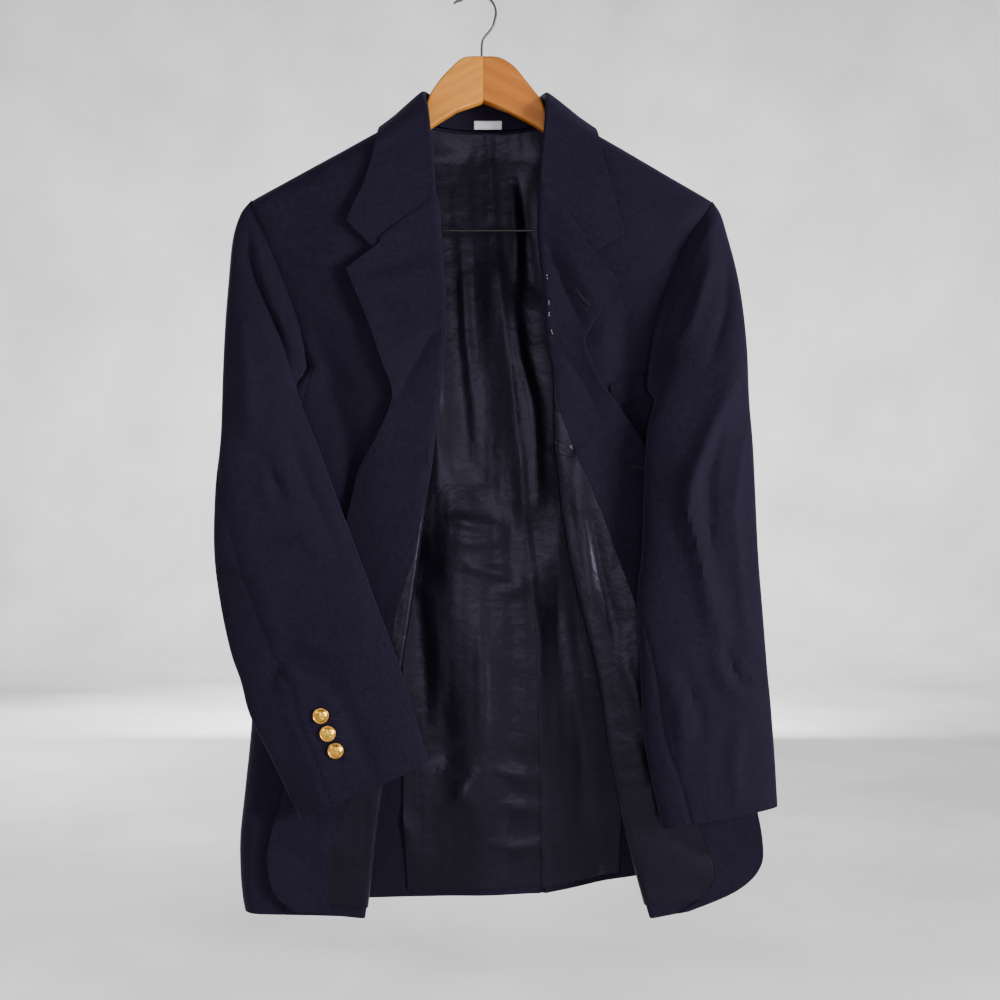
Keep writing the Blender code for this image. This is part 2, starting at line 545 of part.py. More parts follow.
def make_front_lining(side, material, collection):
    """Satin that shows on the flap, round the fold and just behind it."""
    grid = body_grid(side, side.front_point, lined_columns, body_rows(LINING_ROW, LAST_ROW - 0.7),
                     lambda place, row: LINING_EDGE, seam_turn(side, -SEAM), (WOOL + SATIN) / 2 + LAYER_GAP)
    cloth("lining_front_" + side.name, (grid,), SATIN, material, collection)


def make_side_panel(side, material, collection):
    def columns(row):
        return [row["panel"] * share for share in (*SIDE_COLUMNS, 1.0)]

    def border(surface):
        return lambda place, row: row["panel"] - side.turn_share(surface, place, row["panel"], SEAM)

    places = body_rows(UNDERARM_ROW)
    halves = [body_grid(side, surface, columns, places, lambda place, row: 0.0, border(surface))
              for surface in (side.front_point, side.back_point)]
    grid = [front[::-1] + back[1:] for front, back in zip(*halves)]
    cloth("side_" + side.name, (inset(grid, top=SEAM),), WOOL, material, collection)


def make_back(side, material, collection):
    """A back panel; the left one laps over the right at the vent."""
    surface = side.back_point

    def seam(place, row):
        return row["panel"] + (side.turn_share(surface, place, row["panel"], SEAM) if row["panel"] > 0.01 else 0.0)

    def centre(place, row):
        open_vent = side is RIGHT and surface(place, 1.0)[2] < VENT_TOP_Z
        return 1.0 - side.turn_share(surface, place, 0.99, VENT_CLEARANCE if open_vent else SEAM)

    grids = [inset(body_grid(side, surface, panel_columns, body_rows(0), seam, centre), top=SHOULDER_SEAM)]
    if side is LEFT:
        lap = [[row[-1] + (-run, step, 0.0) for run, step in
                ((0.0, 0.0), (1.5, 1.2), (3.5, VENT_STEP), (VENT_WIDTH / 2, VENT_STEP), (VENT_WIDTH, VENT_STEP))]
               for row in grids[0] if row[-1][2] < VENT_TOP_Z]
        grids.append(lap)
    cloth("back_" + side.name, grids, WOOL, material, collection)


def make_back_lining(side, material, collection):
    surface = side.back_point
    places = body_rows(SHOULDER_PLACES[1], LAST_ROW - 0.5)
    grid = body_grid(side, surface, panel_columns, places,
                     lambda place, row: mix(row["panel"], 1.0, 2 / BODY_COLUMNS),
                     lambda place, row: 1.0 - side.turn_share(surface, place, 0.99, SEAM),
                     -(WOOL + SATIN) / 2 - LAYER_GAP)
    cloth("lining_back_" + side.name, (grid,), SATIN, material, collection)


def make_sleeve(side, material, collection):
    """Two-piece sleeve: columns at even angles, ending at the hind and the fore seam."""
    def grid(first, last, begin, finish):
        angles = np.arange(first, last + 1, SLEEVE_STEP)
        rows = []
        for place in SLEEVE_PLACES:
            row = row_of(side.sleeve, SLEEVE_COLUMNS, place)
            rows.append([side.sleeve_point(place, angle)
                         for angle in np.clip(angles, begin(row) + seam_angle, finish(row) - seam_angle)])
        return rows

    seam_angle = math.degrees(SLEEVE_SEAM / SLEEVE_RADIUS)
    top = grid(-67.5, 247.5, lambda row: row["hind"], lambda row: row["fore"])
    under = grid(112.5, 450.0, lambda row: row["fore"], lambda row: 360.0 + row["hind"])
    cloth("top_sleeve_" + side.name, (top,), WOOL, material, collection)
    cloth("under_sleeve_" + side.name, (under,), WOOL, material, collection)


def collar_row(side, place):
    """Leaf edge, fall, roll and stand of the collar at one station."""
    row = row_of(side.collar, COLLAR_COLUMNS, place)
    leaf, roll, stand = (np.array([row[part + axis] for axis in ("_x", "_y", "_z")])
                         for part in ("leaf", "roll", "stand"))
    notch = mix(leaf, roll, 0.33) + (np.array(NOTCH[side.name]) - mix(
        np.array(side.collar[0][0:3]), np.array(side.collar[0][3:6]), 0.33)) * max(1.0 - place, 0.0)
    to_leaf = (notch - roll) / np.linalg.norm(notch - roll)
    to_stand = (stand - roll) / np.linalg.norm(stand - roll)
    inwards = (to_leaf + to_stand) / np.linalg.norm(to_leaf + to_stand) * ROLL_RADIUS
    apart = (to_leaf - to_stand) / np.linalg.norm(to_leaf - to_stand) * ROLL_RADIUS
    fall = roll + inwards + apart
    return [leaf, mix(leaf, notch, 0.5), notch, mix(notch, fall, 0.5), fall, roll,
            roll + inwards - apart, stand]


def make_collar(material, collection):
    places = np.linspace(0, COLLAR_LAST, COLLAR_ROWS)
    rows = [collar_row(RIGHT, place) for place in places]
    rows += [collar_row(LEFT, place) for place in places[::-1][1:]]
    cloth("collar", (inset(rows, top=SEAM, bottom=SEAM),), COLLAR_WALL, material, collection)


def make_breast_welt(material, collection):
    """Welt of the chest pocket, on the left front under the flap."""
    left, right, top, bottom = WELT_CORNERS
    depth = (WOOL + FACING) / 2 + GAP
    rows = []
    for height in np.linspace(top, bottom, 4):
        row = []
        for x in np.linspace(left, right, 8):
            z = height + 0.3 * (x - left)
            place = float(np.interp(-z, [-LEFT.front[k][3] for k in range(LAST_ROW)], range(LAST_ROW)))
            y = LEFT.wall_y(x, z, LEFT.row(place), FRONT_Y, FRONT_SIDE_ROUND)
            row.append((x, y + soft_folds("front_left", x, z) - depth, z))
        rows.append(row)
    cloth("breast_welt", (rows,), 1.0, material, collection)


def make_pocket_welt(material, collection):
    """Welt of the inner pocket, where it shows on the left front's folded lining."""
    distance = WOOL / 2 + LAYER_GAP + SATIN + GAP + 0.4
    rows = []
    for height in np.linspace(POCKET_ROWS[0], POCKET_ROWS[1], 4):
        place = float(np.interp(-height, [-row[3] for row in LEFT.front], range(LAST_ROW + 1)))
        seam = LEFT.row(place)["seam"]
        rows.append([LEFT.front_inner(place, turn, distance) for turn in np.linspace(1.6, seam - 0.02, 6)])
    cloth("inner_pocket_welt", (rows,), 0.8, material, collection)


def make_label(material, collection):
    """Bare label on the inside of the collar stand."""
    width, height = LABEL_SIZE
    rows = [[(LABEL_CENTRE + along, LABEL_Y, LABEL_TOP_Z - drop)
             for along in np.linspace(-width / 2, width / 2, 4)] for drop in (0.0, height / 2, height)]
    cloth("neck_label", (rows,), 0.6, material, collection)


def make_button(side, number, spot, material, collection):
    """A domed blazer button with a raised rim, standing on the sleeve's wall."""
    front = side is RIGHT
    place, angle = side.sleeve_place(*spot, front)
    centre = side.sleeve_point(place, angle)
    across = side.sleeve_point(place, angle + 2.0) - side.sleeve_point(place, angle - 2.0)
    along = side.sleeve_point(place + 0.1, angle) - side.sleeve_point(place - 0.1, angle)
    normal = Vector(np.cross(across, along)).normalized()
    if (normal.y > 0) == front:
        normal.negate()
    profile = ((0.0, 0.0), (0.55, 0.0), (0.94, 0.22), (1.0, 0.42), (0.97, 0.58), (0.88, 0.6),
               (0.8, 0.56), (0.55, 0.86), (0.28, 0.97), (0.0, 1.0))
    turned = bmesh.new()
    verts = [turned.verts.new((r * BUTTON_RADIUS * MM, 0.0, h * BUTTON_HEIGHT * MM)) for r, h in profile]
    edges = [turned.edges.new(pair) for pair in zip(verts, verts[1:])]
    bmesh.ops.spin(turned, geom=verts + edges, cent=(0, 0, 0), axis=(0, 0, 1),
                   angle=2 * math.pi, steps=14, use_merge=True)
    bmesh.ops.remove_doubles(turned, verts=turned.verts, dist=0.00001)
    bmesh.ops.recalc_face_normals(turned, faces=turned.faces)
    mesh = bpy.data.meshes.new("sleeve_button_%s_%d" % (side.name, number))
    turned.to_mesh(mesh)
    turned.free()
    mesh.shade_smooth()
    item = link(mesh.name, mesh, material, collection)
    item.rotation_mode = "QUATERNION"
    item.rotation_quaternion = normal.to_track_quat("Z", "Y")
    item.location = (Vector(centre) + normal * (WOOL / 2 + 1.1)) * MM


def make_wood_half(name, top, under, inward, material, collection):
    """A flat outline of wood, extruded and rounded."""
    middle = MITRE_X + inward * GAP / 2
    outline = [*smooth([(middle, WOOD_PEAK_Z), *top], 2), *under, (middle, WOOD_NOTCH_Z)]
    curve = bpy.data.curves.new(name, "CURVE")
    curve.dimensions = "2D"
    curve.fill_mode = "BOTH"
    curve.extrude = WOOD_THICKNESS / 2 * MM
    line = curve.splines.new("POLY")
    line.points.add(len(outline) - 1)
    for point, (x, z) in zip(line.points, outline):
        point.co = (x * MM, z * MM, 0.0, 1.0)
    line.use_cyclic_u = True
    item = bpy.data.objects.new(name, curve)
    collection.objects.link(item)
    curve.materials.append(material)
    item.rotation_euler = (math.pi / 2, 0.0, 0.0)
    item.location = (0.0, CREST_Y * MM, 0.0)
    weld = item.modifiers.new("weld", "WELD")
    weld.merge_threshold = 0.00002
    edge = item.modifiers.new("rounded_edge", "BEVEL")
    edge.width = 2.5 * MM
    edge.segments = 2
    edge.angle_limit = math.radians(50)
    edge.use_clamp_overlap = False


def make_wire(name, points, radius, material, collection):
    curve = bpy.data.curves.new(name, "CURVE")
    curve.dimensions = "3D"
    curve.bevel_depth = radius * MM
    curve.bevel_resolution = 2
    curve.use_fill_caps = True
    line = curve.splines.new("POLY")
    line.points.add(len(points) - 1)
    for point, (x, y, z) in zip(line.points, points):
        point.co = (x * MM, y * MM, z * MM, 1.0)
    curve.materials.append(material)
    item = bpy.data.objects.new(name, curve)
    collection.objects.link(item)


def smooth(points, steps):
    """The points with more between them, on a smooth curve."""
    return [tuple(spline(points, place)) for place in np.linspace(0, len(points) - 1, (len(points) - 1) * steps + 1)]


def hook_points():
    """Wire of the hook: tip, the round that hangs on a rail, then the stem."""
    round_part = [(HOOK_RADIUS * math.cos(angle), HOOK_CENTRE_Z + HOOK_RADIUS * math.sin(angle))
                  for angle in np.radians(np.linspace(139, -18, 17))]
    stem = smooth([round_part[-1], *HOOK_STEM], SMOOTH_STEPS)[1:]
    return [(x, CREST_Y, z) for x, z in (*HOOK_TIP, *round_part, *stem)]


def make_hanger(wood, chrome, collection):
    make_wood_half("hanger_wood_left", WOOD_TOP_LEFT, WOOD_UNDER_LEFT, 1, wood, collection)
    make_wood_half("hanger_wood_right", WOOD_TOP_RIGHT, WOOD_UNDER_RIGHT, -1, wood, collection)
    make_wire("hanger_hook", hook_points(), WIRE_RADIUS, chrome, collection)
    ends = [(x, CREST_Y, BAR_Z) for x in BAR_ENDS]
    make_wire("hanger_bar", ends, BAR_RADIUS, chrome, collection)


def main():
    clear_scene()
    garment = bpy.data.collections.new(GARMENT)
    bpy.context.scene.collection.children.link(garment)
    material = {name: make_material(name) for name in FINISHES}
    for side in (RIGHT, LEFT):
        make_front(side, material["navy_wool"], garment)
        make_side_panel(side, material["navy_wool"], garment)
        make_back(side, material["navy_wool"], garment)
        make_facing(side, material["navy_wool"], garment)
        make_sleeve(side, material["navy_wool"], garment)
        make_front_lining(side, material["black_satin"], garment)
        make_back_lining(side, material["black_satin"], garment)
        for number, spot in enumerate(BUTTONS[side.name], 1):
            make_button(side, number, spot, material["gilt_brass"], garment)
    make_collar(material["navy_wool"], garment)
    make_breast_welt(material["navy_wool"], garment)
    make_pocket_welt(material["black_satin"], garment)
    make_label(material["label_cloth"], garment)
    make_hanger(material["varnished_wood"], material["chrome_wire"], garment)


main()
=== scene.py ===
# %% [markdown]
# # A navy blazer hanging open on a wooden hanger
# The real jacket is soft wool over a satin lining. Both fronts have swung outwards, so that the
# wool facings and the lining face the viewer, and the sleeves lie over the folded fronts.
# Cloth like this can be simulated, but a hanging jacket is held in shape by its canvas and its
# ironed folds. So each panel is a surface worked out from the garment's own measurements, and
# the creases are laid on it. Left and right are the wearer's; the viewer looks along +Y.

import math

import bmesh
import bpy
import numpy as np
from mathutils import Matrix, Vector


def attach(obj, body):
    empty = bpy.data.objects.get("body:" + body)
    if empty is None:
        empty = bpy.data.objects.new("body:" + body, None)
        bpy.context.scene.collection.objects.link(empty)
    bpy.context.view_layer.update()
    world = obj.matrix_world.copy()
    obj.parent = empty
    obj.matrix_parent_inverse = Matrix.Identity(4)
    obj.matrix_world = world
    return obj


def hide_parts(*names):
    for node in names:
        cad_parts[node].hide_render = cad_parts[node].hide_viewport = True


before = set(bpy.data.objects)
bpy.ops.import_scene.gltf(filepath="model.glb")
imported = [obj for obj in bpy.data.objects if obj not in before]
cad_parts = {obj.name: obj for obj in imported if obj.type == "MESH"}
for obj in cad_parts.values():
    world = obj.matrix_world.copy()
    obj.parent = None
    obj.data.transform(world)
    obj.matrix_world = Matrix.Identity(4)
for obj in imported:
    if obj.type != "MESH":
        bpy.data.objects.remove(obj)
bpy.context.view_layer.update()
MM = 0.001

# %% [markdown]
# ## Camera first
# The photograph looks straight at the chest from about one and a half metres. The camera is
# placed so that a pixel is about a millimetre at the hanger, which makes sizes easy to compare.

# %% Camera
FRAME_WIDTH = 1.03
CAMERA_DISTANCE = 1.506
camera_data = bpy.data.cameras.new("camera")
camera_data.sensor_width = 36.0
camera_data.lens = 36.0 * 1.5 / FRAME_WIDTH
camera = bpy.data.objects.new("camera", camera_data)
camera.location = (0.0247, -CAMERA_DISTANCE, -0.5222)
camera.rotation_euler = (math.pi / 2, 0.0, 0.0)
bpy.context.scene.collection.objects.link(camera)
bpy.context.scene.camera = camera
print("camera lens, mm:", round(camera_data.lens, 1))

# %% [markdown]
# ## Measurements of the jacket
# A tailor drafts a front as rows from the shoulder down to the hem. Here each row names where
# the side, the fold and the front edge lie, in millimetres, as on a pattern. The same rows then
# carry every layer: outer wool, facing and lining.

# %% Walls, depths and the rows of the fronts
WOOL, FACING, SATIN, COLLAR_WALL = 1.6, 1.4, 1.0, 1.8
LAYER_GAP, SEAM, SEAM_DIP = 0.6, 0.04, (0.75, 0.45, 0.12)
CREST_Y, FRONT_Y, BACK_Y = 0.0, -21.0, 28.0
FOLD_RADIUS, SHOULDER_ROUND, FRONT_SIDE_ROUND, BACK_SIDE_ROUND = 2.7, 22.0, 18.0, 32.0
TUBE_SQUARENESS = 0.8
LAPEL_LIFT, FLAP_LIFT, SLEEVE_HEAD = 5.5, 1.2, 2.6
FRONT_COLUMNS = ("side_x", "side_z", "fold_x", "fold_z", "edge_x", "edge_z", "seam", "panel")
FRONT_RIGHT = (
    (-231.0, -214.0, -66.5, -124.0, -132.0, -286.0, 0.82, 0.00),
    (-225.0, -232.0, -61.0, -150.0, -132.0, -286.0, 0.82, 0.00),
    (-217.0, -250.0, -60.0, -178.0, -132.0, -286.0, 0.82, 0.00),
    (-209.0, -268.0, -57.5, -205.0, -132.0, -286.0, 0.82, 0.00),
    (-202.0, -285.0, -40.5, -219.0, -132.0, -287.0, 0.82, 0.00),
    (-195.0, -302.0, -38.5, -240.0, -122.0, -310.0, 0.82, 0.00),
    (-188.0, -321.0, -36.5, -265.0, -113.0, -332.0, 0.82, 0.00),
    (-181.0, -342.0, -34.5, -295.0, -103.5, -357.0, 0.82, 0.00),
    (-176.0, -364.0, -32.7, -330.0, -94.5, -384.0, 0.84, 0.00),
    (-174.0, -385.0, -33.2, -365.0, -86.5, -404.0, 0.90, 0.04),
    (-196.0, -410.0, -37.3, -400.0, -86.5, -424.0, 1.00, 0.14),
    (-218.0, -445.0, -41.7, -440.0, -102.0, -460.0, 1.25, 0.22),
    (-224.0, -482.0, -46.0, -480.0, -119.0, -492.0, 1.50, 0.26),
    (-226.0, -523.0, -52.2, -522.0, -128.0, -528.0, 1.75, 0.28),
    (-227.0, -582.0, -60.2, -582.0, -140.0, -582.0, 2.00, 0.29),
    (-228.0, -640.0, -68.5, -640.0, -156.0, -640.0, 2.12, 0.30),
    (-229.0, -700.0, -78.5, -700.0, -169.5, -702.0, 2.10, 0.31),
    (-232.0, -760.0, -88.0, -760.0, -183.0, -762.0, 2.14, 0.32),
    (-238.0, -820.0, -97.0, -820.0, -196.0, -822.0, 2.25, 0.33),
    (-243.0, -868.0, -103.7, -870.0, -209.0, -866.0, 2.38, 0.34),
    (-243.0, -902.0, -108.0, -905.0, -211.0, -893.0, 2.40, 0.35),
    (-241.0, -928.0, -111.0, -930.0, -204.0, -922.0, 2.41, 0.35),
    (-238.0, -944.0, -113.2, -947.0, -184.0, -940.0, 2.42, 0.35),
)
FRONT_LEFT = (
    (243.0, -215.0, 86.0, -123.5, 145.0, -300.0, 0.82, 0.00),
    (231.0, -234.0, 84.0, -148.0, 145.0, -300.0, 0.82, 0.00),
    (219.0, -253.0, 82.5, -168.0, 145.0, -300.0, 0.82, 0.00),
    (209.0, -273.0, 80.0, -192.0, 145.0, -300.0, 0.82, 0.00),
    (200.0, -294.0, 66.3, -205.0, 145.0, -300.5, 0.82, 0.00),
    (192.0, -316.0, 65.4, -225.0, 136.0, -316.0, 0.82, 0.00),
    (185.0, -339.0, 65.0, -250.0, 127.0, -331.0, 0.82, 0.00),
    (180.0, -362.0, 67.5, -280.0, 116.0, -348.0, 1.00, 0.00),
    (177.0, -384.0, 71.0, -310.0, 111.0, -364.0, 1.25, 0.00),
    (176.0, -405.0, 72.7, -350.0, 127.0, -401.0, 1.50, 0.04),
    (200.0, -428.0, 79.2, -388.0, 148.0, -431.0, 1.75, 0.14),
    (222.0, -456.0, 81.0, -427.0, 169.0, -462.0, 2.00, 0.22),
    (230.0, -490.0, 81.8, -465.0, 186.0, -493.0, 2.15, 0.26),
    (234.0, -535.0, 87.0, -522.0, 205.0, -540.0, 2.31, 0.28),
    (237.0, -590.0, 96.6, -582.0, 221.0, -592.0, 2.39, 0.29),
    (239.0, -642.0, 110.5, -640.0, 236.0, -646.0, 2.45, 0.30),
    (241.0, -700.0, 124.5, -698.0, 250.0, -706.0, 2.50, 0.31),
    (243.0, -756.0, 133.8, -755.0, 265.0, -764.0, 2.50, 0.32),
    (245.0, -810.0, 144.5, -815.0, 281.0, -818.0, 2.50, 0.33),
    (244.0, -850.0, 156.5, -870.0, 291.0, -868.0, 2.56, 0.34),
    (242.0, -876.0, 164.5, -900.0, 288.0, -896.0, 2.62, 0.35),
    (240.0, -893.0, 171.5, -926.0, 264.0, -919.0, 2.66, 0.35),
    (238.0, -904.0, 177.6, -947.0, 216.0, -940.0, 2.70, 0.35),
)
GORGE_ROW, UNDERARM_ROW, LINING_ROW = 4, 9, 7.0
LAST_ROW = len(FRONT_RIGHT) - 1
print("rows in a front:", LAST_ROW + 1)

# %% Back, sleeves and collar
CENTRE_BACK = ((-135.0, 12.0), (-181.0, 17.3), (-272.0, 22.6), (-364.0, 33.1), (-459.0, 43.7),
               (-554.0, 54.2), (-628.0, 61.6), (-670.0, 67.9), (-817.0, 70.0), (-935.0, 73.2))
BACK_NECK_Z = -135.6
BACK_NECK_Y = 25.0
BACK_HEM_Z = -936.0
VENT_TOP_Z = -640.0
VENT_WIDTH = 32.0
VENT_STEP = 2.4
VENT_CLEARANCE = 6.0
SLEEVE_COLUMNS = ("outer_x", "outer_z", "inner_x", "inner_z", "outer_y", "inner_y",
                  "front_y", "back_y", "hind", "fore")
SLEEVE_RIGHT = (
    (-231.6, -213.0, -175.2, -383.4, 0.0, 0.0, -21.0, 28.0, -60, 225),
    (-242.0, -229.0, -176.6, -389.5, -4.0, -12.0, -34.0, 14.0, -60, 225),
    (-248.0, -256.0, -182.0, -408.0, -12.0, -38.0, -44.0, -14.0, -56, 225),
    (-250.0, -299.0, -172.0, -436.0, -24.0, -46.0, -54.0, -33.0, -53, 225),
    (-251.7, -349.0, -158.0, -470.0, -36.0, -48.0, -60.0, -36.0, -46, 225),
    (-252.7, -400.0, -144.0, -507.0, -44.0, -49.0, -64.0, -37.0, -28, 225),
    (-254.0, -461.0, -127.0, -552.0, -48.0, -50.0, -67.0, -37.0, -4, 225),
    (-259.0, -512.0, -112.0, -592.0, -50.0, -50.0, -68.0, -37.0, 22.5, 225),
    (-260.0, -573.0, -97.0, -633.0, -51.0, -50.0, -68.0, -37.0, 45, 225),
    (-254.0, -624.0, -84.0, -667.0, -51.0, -50.0, -67.0, -37.0, 54, 225),
    (-243.6, -673.0, -73.0, -698.0, -51.0, -50.0, -66.0, -37.0, 60, 225),
    (-233.4, -703.0, -66.0, -722.0, -51.0, -50.0, -65.0, -37.0, 66, 225),
    (-224.3, -737.0, -59.0, -745.0, -51.0, -50.0, -64.0, -37.0, 65, 225),
    (-203.0, -781.0, -53.0, -765.0, -50.0, -49.0, -63.0, -37.0, 63, 225),
    (-174.5, -840.0, -47.5, -785.0, -50.0, -49.0, -63.0, -37.0, 59, 225),
)
SLEEVE_LEFT = (
    (243.6, -214.0, 177.2, -403.4, 0.0, 0.0, -21.0, 28.0, -60, 225),
    (251.0, -229.0, 177.8, -409.5, -4.0, -12.0, -34.0, 14.0, -60, 225),
    (256.5, -252.0, 181.0, -424.0, -12.0, -42.0, -44.0, -14.0, -60, 225),
    (263.5, -286.0, 173.5, -452.0, -24.0, -46.0, -54.0, -33.0, -60, 225),
    (268.3, -324.0, 171.0, -482.0, -36.0, -48.0, -60.0, -36.0, -60, 225),
    (271.5, -368.0, 169.3, -515.0, -44.0, -49.0, -64.0, -37.0, -60, 215),
    (273.2, -420.0, 168.2, -550.0, -48.0, -50.0, -67.0, -37.0, -60, 205),
    (276.6, -466.0, 166.6, -583.0, -50.0, -50.0, -68.0, -37.0, -60, 192),
    (279.0, -518.0, 162.5, -616.0, -51.0, -50.0, -68.0, -37.0, -60, 180),
    (282.0, -580.0, 164.3, -655.0, -51.0, -50.0, -67.0, -37.0, -60, 157.5),
    (286.2, -633.0, 166.0, -700.0, -51.0, -50.0, -66.0, -37.0, -60, 143),
    (290.0, -680.0, 168.0, -738.0, -51.0, -50.0, -65.0, -37.0, -60, 139),
    (294.3, -727.0, 171.5, -774.0, -51.0, -50.0, -64.0, -37.0, -60, 135),
    (298.2, -776.0, 179.5, -813.0, -50.0, -49.0, -63.0, -37.0, -60, 127),
    (301.2, -828.0, 188.0, -850.0, -50.0, -49.0, -63.0, -37.0, -60, 124),
)
SLEEVE_GAP, SLEEVE_SEAM, SLEEVE_RADIUS = 0.3, 0.1, 45.0
COLLAR_COLUMNS = ("leaf_x", "leaf_y", "leaf_z", "roll_x", "roll_y", "roll_z",
                  "stand_x", "stand_y", "stand_z")
COLLAR_RIGHT = (
    (-131.6, -27.0, -238.0, -41.3, -25.5, -214.0, -44.8, -20.8, -214.5),
    (-124.8, -27.0, -222.0, -42.2, -25.5, -196.0, -47.5, -19.5, -197.0),
    (-113.5, -27.0, -198.0, -44.0, -25.0, -172.0, -51.0, -18.0, -173.0),
    (-105.8, -27.0, -174.0, -46.5, -24.5, -148.0, -54.0, -16.0, -147.0),
    (-101.0, -25.5, -153.0, -49.5, -22.5, -122.0, -58.0, -11.5, -127.5),
    (-98.0, 0.0, -136.5, -53.0, -2.0, -103.5, -66.0, -1.0, -121.0),
    (-88.0, 31.0, -146.0, -44.0, 15.0, -104.0, -54.0, 14.0, -126.0),
    (-55.0, 34.5, -157.0, -25.0, 23.0, -107.0, -30.0, 22.5, -132.0),
    (12.0, 36.0, -160.0, 12.0, 26.0, -108.5, 12.0, 24.5, -134.0),
)
COLLAR_LEFT = (
    (152.0, -27.0, -250.0, 66.0, -25.5, -200.0, 69.5, -20.8, -200.0),
    (146.0, -27.0, -233.0, 66.3, -25.5, -184.0, 71.6, -19.5, -185.0),
    (139.5, -27.0, -208.0, 67.5, -25.0, -167.0, 74.5, -18.0, -168.0),
    (131.0, -27.0, -178.0, 70.0, -24.5, -147.0, 77.5, -16.0, -146.0),
    (126.0, -25.5, -156.0, 71.5, -22.5, -124.0, 80.0, -11.5, -128.5),
    (121.5, 0.0, -138.0, 71.5, -2.0, -105.0, 85.5, -1.0, -120.5),
    (111.0, 31.0, -149.0, 64.0, 15.0, -105.0, 74.0, 14.0, -126.0),
    (78.0, 34.5, -158.0, 46.0, 23.0, -107.0, 50.0, 22.5, -132.0),
    (12.0, 36.0, -160.0, 12.0, 26.0, -108.5, 12.0, 24.5, -134.0),
)
NOTCH = {"right": (-104.4, -27.0, -265.0), "left": (120.6, -27.0, -269.0)}
ROLL_RADIUS = 2.4
print("rows in a sleeve:", len(SLEEVE_RIGHT), "stations in half the collar:", len(COLLAR_RIGHT))

# %% [markdown]
# ## Folds and creases
# Cloth that hangs from a shoulder shows long soft troughs, and where it is bent it shows
# shorter, sharper ones. Each is a line on the panel with a width and a depth in millimetres:
# positive is a trough, negative a ridge towards the viewer. A line fades out at its ends, which
# keeps it from looking ruled. The first table holds the large folds, the second the creases.

# %% Large folds
FOLDS = {
    "front_right": (
        (-129.0, -287.0, -40.0, -272.0, 16.0, 1.6), (-34.0, -348.0, -90.0, -425.0, 13.0, 1.8)),
    "front_left": (
        (70.0, -255.0, 112.0, -358.0, 13.0, 2.0), (85.0, -440.0, 110.0, -520.0, 14.0, -1.6)),
    "back": (
        (-25.0, -175.0, 0.0, -500.0, 16.0, 4.0), (25.0, -290.0, 56.0, -520.0, 15.0, -4.0),
        (48.0, -200.0, 58.0, -290.0, 12.0, 3.5), (-65.0, -600.0, -34.0, -780.0, 22.0, 6.0),
        (98.0, -640.0, 130.0, -900.0, 24.0, 7.0), (-20.0, -560.0, 10.0, -930.0, 30.0, -5.0),
        (-160.0, -300.0, -150.0, -700.0, 26.0, -5.0), (180.0, -320.0, 190.0, -640.0, 28.0, -5.0)),
    "sleeve_right": (
        (-238.0, -240.0, -186.0, -395.0, 7.0, 3.0), (-215.0, -480.0, -198.0, -515.0, 12.0, 3.0),
        (-250.0, -475.0, -150.0, -815.0, 13.0, -2.6), (-205.0, -660.0, -150.0, -700.0, 14.0, 2.6)),
    "sleeve_left": (
        (238.0, -240.0, 205.0, -350.0, 14.0, -3.5), (262.0, -385.0, 215.0, -500.0, 15.0, -3.5),
        (212.0, -515.0, 245.0, -660.0, 14.0, -3.0), (268.0, -440.0, 258.0, -660.0, 12.0, 2.6),
        (245.0, -665.0, 288.0, -695.0, 11.0, 3.0), (205.0, -680.0, 228.0, -780.0, 13.0, -2.6)),
}
print("large folds:", sum(len(rows) for rows in FOLDS.values()))

